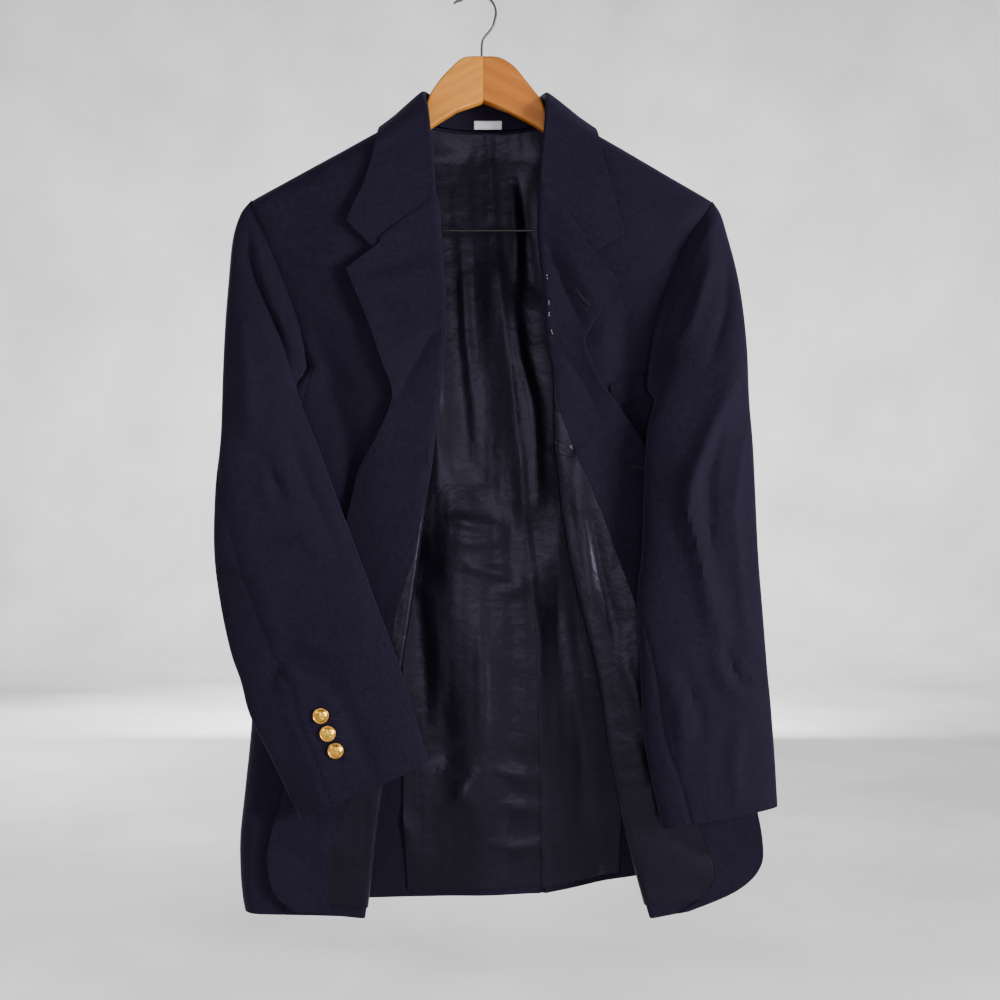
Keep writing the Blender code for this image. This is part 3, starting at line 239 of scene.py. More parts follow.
# %% Creases, drawn as bent lines
CREASES = {
    "front_right": (
        (6, 1.5, ((-24, -300), (-29, -344), (-46, -354), (-82, -421))),
        (22, 5.0, ((-170, -330), (-152, -400), (-128, -470), (-120, -520))),
        (7, -1.4, ((-22, -332), (-57, -331), (-95, -322))),
        (5, 1.0, ((-57, -331), (-40, -340), (-29, -346))),
        (9, 1.6, ((-130, -290), (-92, -282), (-46, -274))),
        (8, -1.0, ((-126, -302), (-90, -300), (-50, -292))),
        (14, -1.3, ((-190, -300), (-160, -330), (-120, -350))),
        (10, 1.2, ((-170, -360), (-140, -400), (-105, -430))),
        (18, 1.6, ((-200, -240), (-140, -228), (-90, -200))),
        (12, -1.4, ((-215, -500), (-180, -620), (-185, -760))),
        (9, 1.1, ((-225, -850), (-190, -880), (-150, -890))),
        (6, -0.8, ((-128, -780), (-150, -830), (-160, -900)))),
    "front_left": (
        (7, 1.8, ((70, -258), (91, -309), (112, -356))),
        (18, 4.0, ((150, -320), (158, -380), (166, -440))),
        (8, -1.3, ((84, -262), (110, -300), (128, -330))),
        (8, 1.3, ((86, -370), (111, -405), (126, -441))),
        (4, 1.3, ((104, -462), (99, -468), (90, -481))),
        (5, -0.9, ((96, -500), (112, -560), (118, -640))),
        (6, 1.2, ((112, -520), (128, -600), (150, -690))),
        (6, -1.1, ((140, -640), (160, -720), (190, -800))),
        (5, 1.0, ((150, -700), (176, -780), (200, -850))),
        (9, -1.2, ((100, -240), (150, -226), (200, -232))),
        (14, 1.4, ((110, -205), (160, -214), (215, -225))),
        (10, 1.0, ((190, -860), (225, -880), (262, -890)))),
    "back": (
        (20, -2.2, ((-150, -200), (-95, -260), (-70, -420))),
        (18, 2.0, ((180, -250), (130, -330), (110, -480))),
        (14, -1.6, ((-190, -480), (-120, -540), (-40, -560))),
        (12, 1.6, ((-180, -520), (-110, -575), (-30, -590))),
        (12, -1.4, ((200, -500), (150, -550), (80, -580))),
        (24, 2.6, ((-170, -640), (-150, -760), (-160, -920))),
        (20, -2.4, ((160, -620), (150, -760), (165, -900)))),
    "back_lining": (
        (8, -2.6, ((-23, -182), (-16, -263), (-11, -344), (-3, -423), (3, -512))),
        (7, -2.2, ((36, -300), (46, -370), (60, -423), (66, -520))),
        (6, -2.0, ((37, -180), (42, -240), (44, -300))),
        (5, -1.8, ((68, -175), (71, -230), (72, -290))),
        (9, -2.4, ((-54, -300), (-44, -420), (-38, -520))),
        (10, -2.6, ((-74, -600), (-48, -622), (-42, -678), (-43, -800))),
        (5, -1.8, ((-30, -540), (0, -549), (30, -552))),
        (5, -1.6, ((-24, -566), (6, -566), (34, -560))),
        (5, -1.8, ((-14, -588), (14, -598), (44, -602))),
        (5, -1.4, ((22, -622), (40, -616), (60, -606))),
        (6, -1.8, ((20, -804), (44, -812), (66, -815))),
        (6, -1.5, ((22, -840), (44, -846), (68, -846))),
        (6, -1.7, ((16, -882), (44, -888), (72, -884))),
        (6, -1.9, ((-34, -800), (-16, -830), (2, -862))),
        (6, -1.7, ((4, -800), (-14, -830), (-34, -862))),
        (7, -1.6, ((-100, -830), (-70, -870), (-60, -915))),
        (8, -1.8, ((96, -520), (104, -640), (116, -760))),
        (7, -1.6, ((2, -640), (8, -720), (4, -790)))),
    "sleeve_right": (
        (3.5, 2.2, ((-232, -236), (-231, -276), (-225, -299), (-212, -332), (-199, -366),
                    (-181, -420), (-166, -450))),
        (6, -1.8, ((-222, -250), (-219, -290), (-206, -330), (-190, -366))),
        (3.5, 1.4, ((-204, -487), (-197, -504), (-191, -521))),
        (4.5, -1.2, ((-212, -490), (-206, -512), (-202, -530))),
        (4.5, 1.4, ((-186, -676), (-196, -692), (-206, -712))),
        (6, -1.3, ((-176, -664), (-150, -672), (-120, -668))),
        (7, 1.5, ((-242, -560), (-212, -566), (-170, -560))),
        (6.5, -1.4, ((-246, -590), (-214, -600), (-180, -600))),
        (8.5, -1.6, ((-236, -330), (-226, -400), (-222, -470))),
        (10, 1.6, ((-190, -430), (-170, -500), (-130, -590))),
        (6, 1.2, ((-140, -700), (-120, -750), (-100, -800)))),
    "sleeve_left": (
        (6.5, -2.0, ((242, -230), (241, -284), (223, -344), (203, -373))),
        (6, 1.8, ((226, -250), (220, -300), (204, -340))),
        (6, 1.6, ((256, -270), (252, -330), (232, -390))),
        (7, -2.0, ((263, -394), (233, -453), (212, -506), (209, -535), (220, -573), (233, -639),
                   (245, -669))),
        (6.5, -1.6, ((270, -444), (264, -478), (256, -531), (260, -575), (264, -620),
                     (268, -669))),
        (6, 1.8, ((246, -440), (230, -500), (232, -560), (246, -620))),
        (3.5, 2.0, ((245, -661), (253, -682), (262, -701), (284, -701), (286, -709))),
        (5, -1.4, ((236, -676), (246, -700), (262, -716), (284, -722))),
        (5, 1.6, ((199, -671), (214, -709), (222, -736), (224, -771))),
        (6.5, -1.4, ((186, -690), (202, -730), (208, -790))),
        (7, -1.3, ((262, -740), (256, -790), (262, -830)))),
    "sleeve_back": (
        (14, 2.0, ((-230, -320), (-190, -420), (-160, -520))),
        (10, -1.8, ((-235, -560), (-190, -590), (-130, -600))),
        (12, 1.6, ((-220, -640), (-170, -690), (-110, -720))),
        (14, 2.0, ((240, -330), (215, -430), (200, -520))),
        (10, -1.8, ((262, -560), (230, -600), (190, -620))),
        (12, 1.6, ((262, -680), (230, -730), (200, -780)))),
}
# every crease of a panel is made deeper by its strength
CREASE_STRENGTH = {"front_right": 2.2, "front_left": 2.2, "sleeve_right": 3.4, "sleeve_left": 3.4,
                   "back_lining": 1.7}
CREASE_SHARPNESS = 1.45
print("creases:", sum(len(rows) for rows in CREASES.values()))

# %% [markdown]
# ## A smooth surface from a few rows
# A curve that passes through every row of a table (a Catmull-Rom spline) keeps the drafted
# measurements and rounds what lies between them. All of it works on whole arrays at once,
# because a panel has thousands of points.

# %% Curves and folds on arrays
def rows_at(table, place):
    """Rows of the table at places between its rows, on a smooth curve through them."""
    rows = np.asarray(table, float)
    place = np.asarray(place, float)
    index = np.clip(place.astype(int), 0, len(rows) - 2)
    share = (place - index)[..., None]
    before, here = rows[np.maximum(index - 1, 0)], rows[index]
    after, beyond = rows[index + 1], rows[np.minimum(index + 2, len(rows) - 1)]
    return here + 0.5 * share * (after - before + share * (
        2 * before - 5 * here + 4 * after - beyond + share * (3 * (here - after) + beyond - before)))


def named(table, columns, place):
    return dict(zip(columns, np.moveaxis(rows_at(table, place), -1, 0)))


def mix(start, end, share):
    return start + (end - start) * share


def rounding(share):
    """A quarter round: rises from 0 to 1 as the share does."""
    share = np.clip(share, 0.0, 1.0)
    return np.sqrt(share * (2 - share))


def along_line(x, z, start, end):
    """Distance of points from a straight line, and how far past its ends they are."""
    run = np.subtract(end, start)
    length = np.hypot(*run)
    share = ((x - start[0]) * run[0] + (z - start[1]) * run[1]) / length ** 2
    across = (run[0] * (z - start[1]) - run[1] * (x - start[0])) / length
    return across, share, length


def soft_folds(layer, x, z):
    """How far the layer's large folds push the cloth, away from the viewer."""
    push = np.zeros(np.shape(x))
    for x0, z0, x1, z1, width, depth in FOLDS.get(layer, ()):
        across, share, length = along_line(x, z, (x0, z0), (x1, z1))
        past = np.maximum(np.maximum(-share, share - 1.0), 0.0) * length
        push += depth * np.exp(-(across / width) ** 2 - (past / (1.6 * width)) ** 2)
    return push


def creases(layer, x, z):
    """The same for bent lines, each fading out towards its ends."""
    push = np.zeros(np.shape(x))
    for width, depth, points in CREASES.get(layer, ()):
        spans = [np.hypot(*np.subtract(b, a)) for a, b in zip(points, points[1:])]
        nearest = np.full(np.shape(x), 1e9)
        gone = np.zeros(np.shape(x))
        done = 0.0
        for start, end, span in zip(points, points[1:], spans):
            share = np.clip(along_line(x, z, start, end)[1], 0.0, 1.0)
            far = np.hypot(x - mix(start[0], end[0], share), z - mix(start[1], end[1], share))
            gone = np.where(far < nearest, (done + share * span) / sum(spans), gone)
            nearest = np.minimum(nearest, far)
            done += span
        fade = np.sin(np.pi * np.clip(gone, 0.03, 0.97)) ** 0.7
        push += depth * fade * np.exp(-(nearest / width) ** CREASE_SHARPNESS)
    return push * CREASE_STRENGTH.get(layer, 1.0)


def unevenness(x, z, depth, phase):
    """Small waves that never quite repeat, as in any cloth that has been worn."""
    wave = (np.sin(x / 11.0 + z / 47.0 + phase) + np.sin(x / 17.3 - z / 29.0 + 2.1 * phase)
            + np.sin(x / 31.0 + z / 13.7 + 0.7 * phase) * 0.6 + np.sin(x / 7.1 - z / 61.0 + phase) * 0.5)
    return depth * wave / 3.0


print("spline check, middle of the right shoulder seam:", rows_at(FRONT_RIGHT, 0.5)[:4].round(1))


# %% [markdown]
# ## The shape of one half of the jacket
# A front hangs from the shoulder, turns outwards round the fold and ends in a flap. Along a row
# the turn runs 0-1 on the body, 1-2 round the fold and 2-3 on the flap. The back and the sleeve
# have rows of their own. Moving a surface along its normal gives the layer that lies on it.

# %% One half of the jacket
class Side:
    def __init__(self, name, outward, front, sleeve, collar):
        self.name, self.outward = name, outward
        self.front, self.sleeve, self.collar = front, sleeve, collar
        self.tip, self.neck = np.array(front[0][0:2]), np.array(front[0][2:4])
        self.underarm_z = front[UNDERARM_ROW][1]
        armhole = front[:UNDERARM_ROW + 1]
        self.rim = [-row[1] for row in armhole], [row[0] for row in armhole]

    def row(self, place):
        return named(self.front, FRONT_COLUMNS, place)

    def below_shoulder(self, x, z):
        slope = (self.tip[1] - self.neck[1]) / (self.tip[0] - self.neck[0])
        return self.neck[1] + slope * (x - self.neck[0]) - z

    def armhole_y(self, z, wall_y):
        share = np.clip((z - self.tip[1]) / (self.underarm_z - self.tip[1]), 0.0, 1.0)
        return mix(CREST_Y, wall_y, (2 * np.sqrt(share * (1 - share))) ** TUBE_SQUARENESS)

    def wall_y(self, x, z, row, wall_y, reach):
        full = mix(CREST_Y, wall_y, rounding(self.below_shoulder(x, z) / SHOULDER_ROUND))
        return mix(self.armhole_y(row["side_z"], wall_y), full, rounding(abs(x - row["side_x"]) / reach))

    def front_push(self, x, z):
        layer = "front_" + self.name
        return soft_folds(layer, x, z) + creases(layer, x, z) + unevenness(x, z, 0.5, self.outward)

    def front_point(self, place, turn):
        place, turn = np.broadcast_arrays(place, turn)
        row = self.row(place)
        start_x = row["fold_x"] + self.outward * FOLD_RADIUS
        x = mix(row["side_x"], start_x, np.clip(turn, 0.0, 1.0))
        z = mix(row["side_z"], row["fold_z"], np.clip(turn, 0.0, 1.0))
        push = self.front_push(x, z) * rounding(turn * 3)
        body = np.stack((x, self.wall_y(x, z, row, FRONT_Y, FRONT_SIDE_ROUND) + push, z), -1)
        angle = np.clip(turn - 1.0, 0.0, 1.0) * np.pi
        fold_y = self.wall_y(start_x, row["fold_z"], row, FRONT_Y, FRONT_SIDE_ROUND)
        fold_y = fold_y + self.front_push(start_x, row["fold_z"])
        bend = np.stack((start_x - self.outward * FOLD_RADIUS * np.sin(angle),
                         fold_y - FOLD_RADIUS * (1 - np.cos(angle)), row["fold_z"]), -1)
        share = np.clip(turn - 2.0, 0.0, 1.0)
        x, z = mix(start_x, row["edge_x"], share), mix(row["fold_z"], row["edge_z"], share)
        open_y = FRONT_Y - 2 * FOLD_RADIUS + self.front_push(x, z)
        flap_y = mix(fold_y - 2 * FOLD_RADIUS, open_y, rounding(share * 6))
        lift = mix(LAPEL_LIFT, FLAP_LIFT, np.clip((place - UNDERARM_ROW) / 3, 0.0, 1.0))
        flap = np.stack((x, flap_y - lift * share ** 2, z), -1)
        turn = turn[..., None]
        return np.where(turn <= 1.0, body, np.where(turn <= 2.0, bend, flap))

    def inner(self, surface, place, turn, distance):
        """The surface moved along its normal, from the outer cloth towards the lining."""
        step = 0.01
        here = surface(place, turn)
        along = surface(place, turn + step) - surface(place, np.maximum(turn - step, 0.0))
        down = surface(place + step, turn) - here
        normal = np.cross(along, down) * -self.outward
        normal /= np.linalg.norm(normal, axis=-1, keepdims=True)
        return here + normal * np.asarray(distance)[..., None]

    def turn_share(self, surface, place, turn, distance):
        """The change of turn that moves a point by the distance along its row."""
        step = 0.01
        run = surface(place, turn + step) - surface(place, np.maximum(turn - step, 0.0))
        return distance * 2 * step / np.linalg.norm(run, axis=-1)

    def back_top(self, x):
        share = (x - self.neck[0]) / (CENTRE_BACK[0][1] - self.neck[0])
        depth = mix(CREST_Y, BACK_NECK_Y, rounding(share * 1.3))
        height = mix(self.neck[1], BACK_NECK_Z, rounding(share))
        return depth, np.where(share <= 0.0, self.below_shoulder(x, 0.0), height)

    def back_point(self, place, share):
        place, share = np.broadcast_arrays(place, share)
        row = self.row(place)
        middle = named(FRONT_RIGHT, FRONT_COLUMNS, place)["fold_z"]
        drop = (middle - FRONT_RIGHT[0][3]) / (FRONT_RIGHT[LAST_ROW][3] - FRONT_RIGHT[0][3])
        centre_z = mix(BACK_NECK_Z, BACK_HEM_Z, drop)
        x = mix(row["side_x"], centre_back_x(centre_z), share)
        z = mix(row["side_z"], centre_z, share)
        top_y, top_z = self.back_top(mix(self.tip[0], CENTRE_BACK[0][1], share))
        fade = np.maximum(1.0 - place / 6.0, 0.0) ** 2
        z = z + (top_z - mix(self.tip[1], BACK_NECK_Z, share)) * fade
        full = mix(CREST_Y, BACK_Y, rounding(self.below_shoulder(x, z) / SHOULDER_ROUND))
        full = mix(full, top_y, np.maximum(1.0 - place, 0.0))
        from_side = rounding(abs(x - row["side_x"]) / BACK_SIDE_ROUND)
        y = mix(self.armhole_y(row["side_z"], BACK_Y), full, from_side)
        push = soft_folds("back", x, z) + creases("back", x, z) + unevenness(x, z, 0.5, 3.0)
        return np.stack((x, y + push * rounding(share * 4) * rounding(place / 4), z), -1)

    def armhole_rim(self, z):
        heights, places = self.rim
        return np.interp(-z, heights, places) + self.outward * SLEEVE_GAP

    def sleeve_point(self, place, angle):
        """A point of the sleeve's flat tube; angle 0 is the outer edge, 90 faces the viewer."""
        place, angle = np.broadcast_arrays(place, angle)
        row = named(self.sleeve, SLEEVE_COLUMNS, place)
        radians = np.radians(angle)
        share = (1 - np.cos(radians)) / 2
        x, z = mix(row["outer_x"], row["inner_x"], share), mix(row["outer_z"], row["inner_z"], share)
        first = self.sleeve[0]
        rim_x, rim_z = mix(first[0], first[2], share), mix(first[1], first[3], share)
        bow = (self.armhole_rim(rim_z) - rim_x) * np.maximum(1.0 - place / 4.0, 0.0)
        wave = np.sin(radians)
        wall = np.where(wave >= 0, row["front_y"], row["back_y"])
        y = mix(mix(row["outer_y"], row["inner_y"], share), wall, abs(wave) ** TUBE_SQUARENESS)
        layer = "sleeve_" + self.name
        front = soft_folds(layer, x, z) + creases(layer, x, z)
        back = -creases("sleeve_back", x, z)
        push = np.where(wave > 0, front, back) * rounding(abs(wave) * 2)
        push = push + unevenness(x, z, 0.65, self.outward * 2.0) * rounding(abs(wave) * 2)
        push = push - SLEEVE_HEAD * np.exp(-((place - 0.9) / 0.5) ** 2) * wave
        return np.stack((x + bow, y + push * np.clip(place / 0.8, 0.0, 1.0), z), -1)


def centre_back_x(z):
    heights, places = zip(*CENTRE_BACK[::-1])
    return np.interp(z, heights, places)


RIGHT = Side("right", -1, FRONT_RIGHT, SLEEVE_RIGHT, COLLAR_RIGHT)
LEFT = Side("left", 1, FRONT_LEFT, SLEEVE_LEFT, COLLAR_LEFT)
print("fold of the left front at the waist:", LEFT.front_point(np.array(13.0), np.array(1.5)).round(1))

# %% [markdown]
# ## From rows of points to a piece of cloth
# A panel is a grid of points. Each point also gets its place on the flat cloth, measured along
# the grid in metres, as a UV map, so that the weave follows the panel and bends with it. The
# Solidify modifier then gives the sheet its thickness, and a small bevel rounds its cut edges.

# %% Grid helpers
CLOTH_STEP = 5.0


def fine_places(side, first, last):
    """Rows about a cloth step apart, and closer together over the shoulder."""
    places = []
    for start in range(int(first), math.ceil(last)):
        run = abs(side.front[start + 1][3] - side.front[start][3])
        steps = max(int(run / CLOTH_STEP), 5)
        places += [start + k / steps for k in range(steps)]
    places = [p for p in [0.02, 0.05, 0.1, *places] if first <= p <= last]
    return np.array(sorted(set([first, *places, last])))


def fine_turns():
    """Columns about a cloth step apart, with eight round the fold."""
    body = np.concatenate(([0.0, 0.01, 0.025, 0.045, 0.07], np.linspace(0.1, 1.0, 34)))
    return np.unique(np.concatenate((body, np.linspace(1, 2, 9), np.linspace(2, 3, 26))))


EDGE_STEPS = (0.0, 0.7, 2.0, 4.0)


def bordered(side, surface, places, turns, low, high):
    """Turns for every row, with a few columns that follow each border."""
    place = places[:, None]
    begin, finish = low(place), high(place)
    starts = [begin + side.turn_share(surface, place, begin + 1e-3, step) for step in EDGE_STEPS]
    ends = [finish - side.turn_share(surface, place, finish - 0.02, step) for step in EDGE_STEPS[::-1]]
    starts = [np.minimum(turn, mix(begin, finish, 0.4)) for turn in starts]
    ends = [np.maximum(turn, mix(begin, finish, 0.6)) for turn in ends]
    middle = np.clip(turns[None, :], starts[-1], ends[0])
    return np.concatenate([*starts, middle, *ends], axis=1)


def roll_in(grid, start=0, finish=0):
    """Sinks the borders that are sewn, as pressed seams sink; 1 moves them away from the viewer."""
    sunk = np.array(grid, float)
    for column, dip in enumerate(SEAM_DIP):
        sunk[:, column, 1] += dip * start
        sunk[:, -1 - column, 1] += dip * finish
    return sunk


def inset(grid, top=0.0, bottom=0.0):
    moved = np.array(grid, float)
    for edge, inner, distance in ((0, 1, top), (-1, -2, bottom)):
        away = moved[inner] - moved[edge]
        length = np.maximum(np.linalg.norm(away, axis=-1, keepdims=True), 1e-9)
        moved[edge] += away / length * np.minimum(distance, 0.6 * length)
    return moved


print("edge columns at, mm:", EDGE_STEPS)


# %% The sheet itself
JOIN_WITHIN, EDGE_ROUND = 0.02, 0.32


def flat_places(grid):
    """Place of each point on the flat cloth, in metres, measured along the grid."""
    across = np.linalg.norm(np.diff(grid, axis=1), axis=-1).cumsum(axis=1)
    across = np.concatenate((np.zeros((len(grid), 1)), across), axis=1)
    across -= across[:, -1:] * 0.5
    down = np.linalg.norm(np.diff(grid, axis=0), axis=-1).mean(axis=1).cumsum()
    down = np.concatenate(([0.0], down))[:, None] + 0.0 * across
    return np.stack((across, -down), -1) * MM


def as_piece(build, name, finish):
    """Makes an object of the shape that was built, and gives it its finish."""
    mesh = bpy.data.meshes.new(name)
    build.to_mesh(mesh)
    build.free()
    mesh.materials.append(finish)
    piece = bpy.data.objects.new(name, mesh)
    bpy.context.scene.collection.objects.link(piece)
    return piece


def make_sheet(name, grids, thickness, finish):
    """Open grids of points, joined where they meet, given a thickness and a soft edge."""
    sheet = bmesh.new()
    weave = sheet.loops.layers.uv.new("weave")
    for grid in grids:
        places = flat_places(grid)
        rows = [[sheet.verts.new(Vector(point) * MM) for point in row] for row in grid]
        for r in range(len(rows) - 1):
            for c in range(len(rows[r]) - 1):
                corners = ((r, c), (r, c + 1), (r + 1, c + 1), (r + 1, c))
                face = sheet.faces.new([rows[i][j] for i, j in corners])
                face.smooth = True
                for loop, (i, j) in zip(face.loops, corners):
                    loop[weave].uv = places[i][j]
    bmesh.ops.remove_doubles(sheet, verts=sheet.verts, dist=JOIN_WITHIN * MM)
    bmesh.ops.recalc_face_normals(sheet, faces=sheet.faces)
    piece = as_piece(sheet, name, finish)
    wall = piece.modifiers.new("wall", "SOLIDIFY")
    wall.thickness = thickness * MM
    wall.offset = 0.0
    soft = piece.modifiers.new("soft_edge", "BEVEL")
    soft.width = EDGE_ROUND * thickness * MM
    soft.segments = 2
    soft.angle_limit = math.radians(60)
    soft.use_clamp_overlap = True
    return piece


def dress(piece, node_name, grids=None):
    """Hangs a finished piece on the frame in place of its CAD node. The flat widths of its grids and the
    height of the first are measured, then left unused.
    """
    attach(piece, "root")
    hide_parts(node_name)
    if grids is not None:
        widths = [flat_places(grid)[..., 0].max() * 2 for grid in grids]
        high = float(-flat_places(grids[0])[-1, 0, 1])

# %% [markdown]
# ## Navy wool
# Worsted wool twill shows fine diagonal ribs, a slightly mottled dye and a bloom of fibre ends
# that catches the light at the edges. The ribs are a wave on the weave map, so they follow the
# cloth. The mottling is noise at two scales, and the bloom is the shader's sheen.

# %% Material helpers
def node(tree, kind, place=(0, 0), **values):
    made = tree.nodes.new(kind)
    made.location = place
    for key, value in values.items():
        if key in made.inputs:
            made.inputs[key].default_value = value
        else:
            setattr(made, key, value)
    return made


def new_finish(name):
    finish = bpy.data.materials.new(name)
    finish.use_nodes = True
    return finish, finish.node_tree, finish.node_tree.nodes["Principled BSDF"]


def ramp(tree, source, stops, place=(0, 0)):
    made = node(tree, "ShaderNodeValToRGB", place)
    band = made.color_ramp
    while len(band.elements) < len(stops):
        band.elements.new(0.5)
    for element, (position, colour) in zip(band.elements, stops):
        element.position = position
        element.color = (*colour, 1.0)
    tree.links.new(source, made.inputs["Fac"])
    return made


def bump(tree, source, strength, distance, before=None, place=(0, 0)):
    made = node(tree, "ShaderNodeBump", place, Strength=strength, Distance=distance)
    tree.links.new(source, made.inputs["Height"])
    if before is not None:
        tree.links.new(before.outputs["Normal"], made.inputs["Normal"])
    return made


def weave_map(tree, turn=0.0, size=(1.0, 1.0, 1.0)):
    source = node(tree, "ShaderNodeUVMap", (-1100, 0), uv_map="weave")
    turned = node(tree, "ShaderNodeMapping", (-900, 0), Rotation=(0, 0, turn), Scale=size)
    tree.links.new(source.outputs["UV"], turned.inputs["Vector"])
    return turned.outputs["Vector"]


def object_map(tree, size=(1.0, 1.0, 1.0), turn=(0, 0, 0), shift=(0, 0, 0)):
    source = node(tree, "ShaderNodeTexCoord", (-1100, -300))
    turned = node(tree, "ShaderNodeMapping", (-900, -300), Scale=size, Rotation=turn, Location=shift)
    tree.links.new(source.outputs["Object"], turned.inputs["Vector"])
    return turned.outputs["Vector"]


def noise(tree, vector, scale, detail=4.0, roughness=0.6, place=(0, 0)):
    made = node(tree, "ShaderNodeTexNoise", place, Scale=scale, Detail=detail, Roughness=roughness)
    tree.links.new(vector, made.inputs["Vector"])
    return made.outputs["Fac"]


print("material helpers ready")

# %% Wool twill
TWILL_PITCH = 0.0011


def make_wool(name, deep, light):
    finish, tree, shader = new_finish(name)
    body = object_map(tree)
    mottle = noise(tree, body, 260.0, 5.0, 0.7, (-700, 200))
    broad = noise(tree, body, 7.0, 3.0, 0.5, (-700, 400))
    both = node(tree, "ShaderNodeMix", (-520, 300), data_type="FLOAT", Factor=0.25)
    tree.links.new(mottle, both.inputs["A"])
    tree.links.new(broad, both.inputs["B"])
    colour = ramp(tree, both.outputs["Result"], ((0.3, deep), (0.72, light)), (-300, 300))
    tree.links.new(colour.outputs["Color"], shader.inputs["Base Color"])
    twill = node(tree, "ShaderNodeTexWave", (-600, -100), Scale=0.314 / TWILL_PITCH, Distortion=0.6)
    twill.inputs["Detail"].default_value = 2.0
    twill.inputs["Detail Scale"].default_value = 3.0
    tree.links.new(weave_map(tree, math.radians(60)), twill.inputs["Vector"])
    fibre = noise(tree, body, 900.0, 3.0, 0.7, (-600, -400))
    soft = noise(tree, body, 45.0, 3.0, 0.5, (-600, -600))
    first = bump(tree, twill.outputs["Fac"], 0.22, 0.0004, None, (-300, -100))
    second = bump(tree, fibre, 0.4, 0.0004, first, (-200, -300))
    third = bump(tree, soft, 0.25, 0.002, second, (-100, -500))
    tree.links.new(third.outputs["Normal"], shader.inputs["Normal"])
    shader.inputs["Roughness"].default_value = 0.82
    shader.inputs["Specular IOR Level"].default_value = 0.07
    shader.inputs["Sheen Weight"].default_value = 0.06
    shader.inputs["Sheen Roughness"].default_value = 0.45
    shader.inputs["Sheen Tint"].default_value = (0.6, 0.5, 0.95, 1.0)
    return finish


wool = make_wool("navy_wool", (0.0030, 0.0021, 0.0062), (0.0088, 0.0062, 0.0166))
print("twill ribs every mm:", TWILL_PITCH * 1000)

# %% [markdown]
# ## Black satin lining
# Lining satin is smooth and close, with long floating threads. It is darker than the wool and
# has soft streaky highlights down the cloth, which give every crinkle away. Stretched noise on
# the weave map makes the streaks, and a low roughness makes the shine.

# %% Satin, label, thread and hardware finishes
def make_satin(name, deep, light, roughness, shine):
    finish, tree, shader = new_finish(name)
    threads = noise(tree, weave_map(tree, 0.0, (1.0, 0.08, 1.0)), 900.0, 3.0, 0.6, (-600, -100))
    body = object_map(tree)
    cloud = noise(tree, body, 16.0, 4.0, 0.55, (-600, 200))
    colour = ramp(tree, cloud, ((0.3, deep), (0.7, light)), (-300, 250))
    tree.links.new(colour.outputs["Color"], shader.inputs["Base Color"])
    hanging = noise(tree, object_map(tree, (1.0, 1.0, 0.10)), 24.0, 2.0, 0.45, (-600, -350))
    crinkle = noise(tree, object_map(tree, (0.8, 1.0, 1.0)), 42.0, 4.0, 0.55, (-600, -600))
    first = bump(tree, threads, 0.25, 0.0003, None, (-300, -100))
    second = bump(tree, hanging, 0.7, 0.007, first, (-200, -300))
    third = bump(tree, crinkle, 0.45, 0.0032, second, (-100, -500))
    tree.links.new(third.outputs["Normal"], shader.inputs["Normal"])
    shader.inputs["Roughness"].default_value = roughness
    shader.inputs["Specular IOR Level"].default_value = shine
    shader.inputs["Specular Tint"].default_value = (0.76, 0.66, 1.0, 1.0)
    shader.inputs["Sheen Weight"].default_value = 0.03
    shader.inputs["Sheen Tint"].default_value = (0.7, 0.65, 0.95, 1.0)
    return finish


satin = make_satin("black_satin", (0.0010, 0.0010, 0.0016), (0.0030, 0.0026, 0.0050), 0.34, 0.17)
label_cloth = make_satin("label_cloth", (0.42, 0.46, 0.50), (0.56, 0.60, 0.63), 0.6, 0.4)


def make_plain(name, colour, roughness, metallic=0.0, grain=250.0, depth=0.0003):
    finish, tree, shader = new_finish(name)
    speckle = noise(tree, object_map(tree), grain, 3.0, 0.6, (-600, 0))
    dark = tuple(value * 0.8 for value in colour)
    tinted = ramp(tree, speckle, ((0.3, dark), (0.7, colour)), (-300, 200))
    tree.links.new(tinted.outputs["Color"], shader.inputs["Base Color"])
    tree.links.new(bump(tree, speckle, 0.2, depth).outputs["Normal"], shader.inputs["Normal"])
    shader.inputs["Roughness"].default_value = roughness
    shader.inputs["Metallic"].default_value = metallic
    return finish


navy_thread = make_plain("navy_thread", (0.004, 0.003, 0.008), 0.8)
black_thread = make_plain("black_thread", (0.003, 0.003, 0.004), 0.6)
white_thread = make_plain("white_thread", (0.40, 0.40, 0.42), 0.7)
chrome = make_plain("chrome_wire", (0.11, 0.105, 0.105), 0.3, 1.0, 60.0, 0.0002)
bar_steel = make_plain("bar_steel", (0.035, 0.034, 0.036), 0.4, 1.0, 60.0, 0.0002)
print("finishes:", ", ".join(m.name for m in bpy.data.materials))

# %% [markdown]
# ## Gilt buttons and varnished wood
# The buttons are stamped brass with a gold wash, unevenly tarnished. The hanger is
# hardwood under varnish: its grain runs down each arm, so each half turns the same grain the
# other way, and the halves were cut from different boards.

# %% Gilt and wood
def make_gilt(name):
    finish, tree, shader = new_finish(name)
    body = object_map(tree)
    tarnish = noise(tree, body, 240.0, 4.0, 0.6, (-600, 100))
    colour = ramp(tree, tarnish, ((0.3, (0.30, 0.15, 0.018)), (0.65, (0.78, 0.44, 0.07))), (-300, 100))
    tree.links.new(colour.outputs["Color"], shader.inputs["Base Color"])
    tree.links.new(bump(tree, tarnish, 0.15, 0.0003).outputs["Normal"], shader.inputs["Normal"])
    shader.inputs["Metallic"].default_value = 1.0
    shader.inputs["Roughness"].default_value = 0.28
    return finish


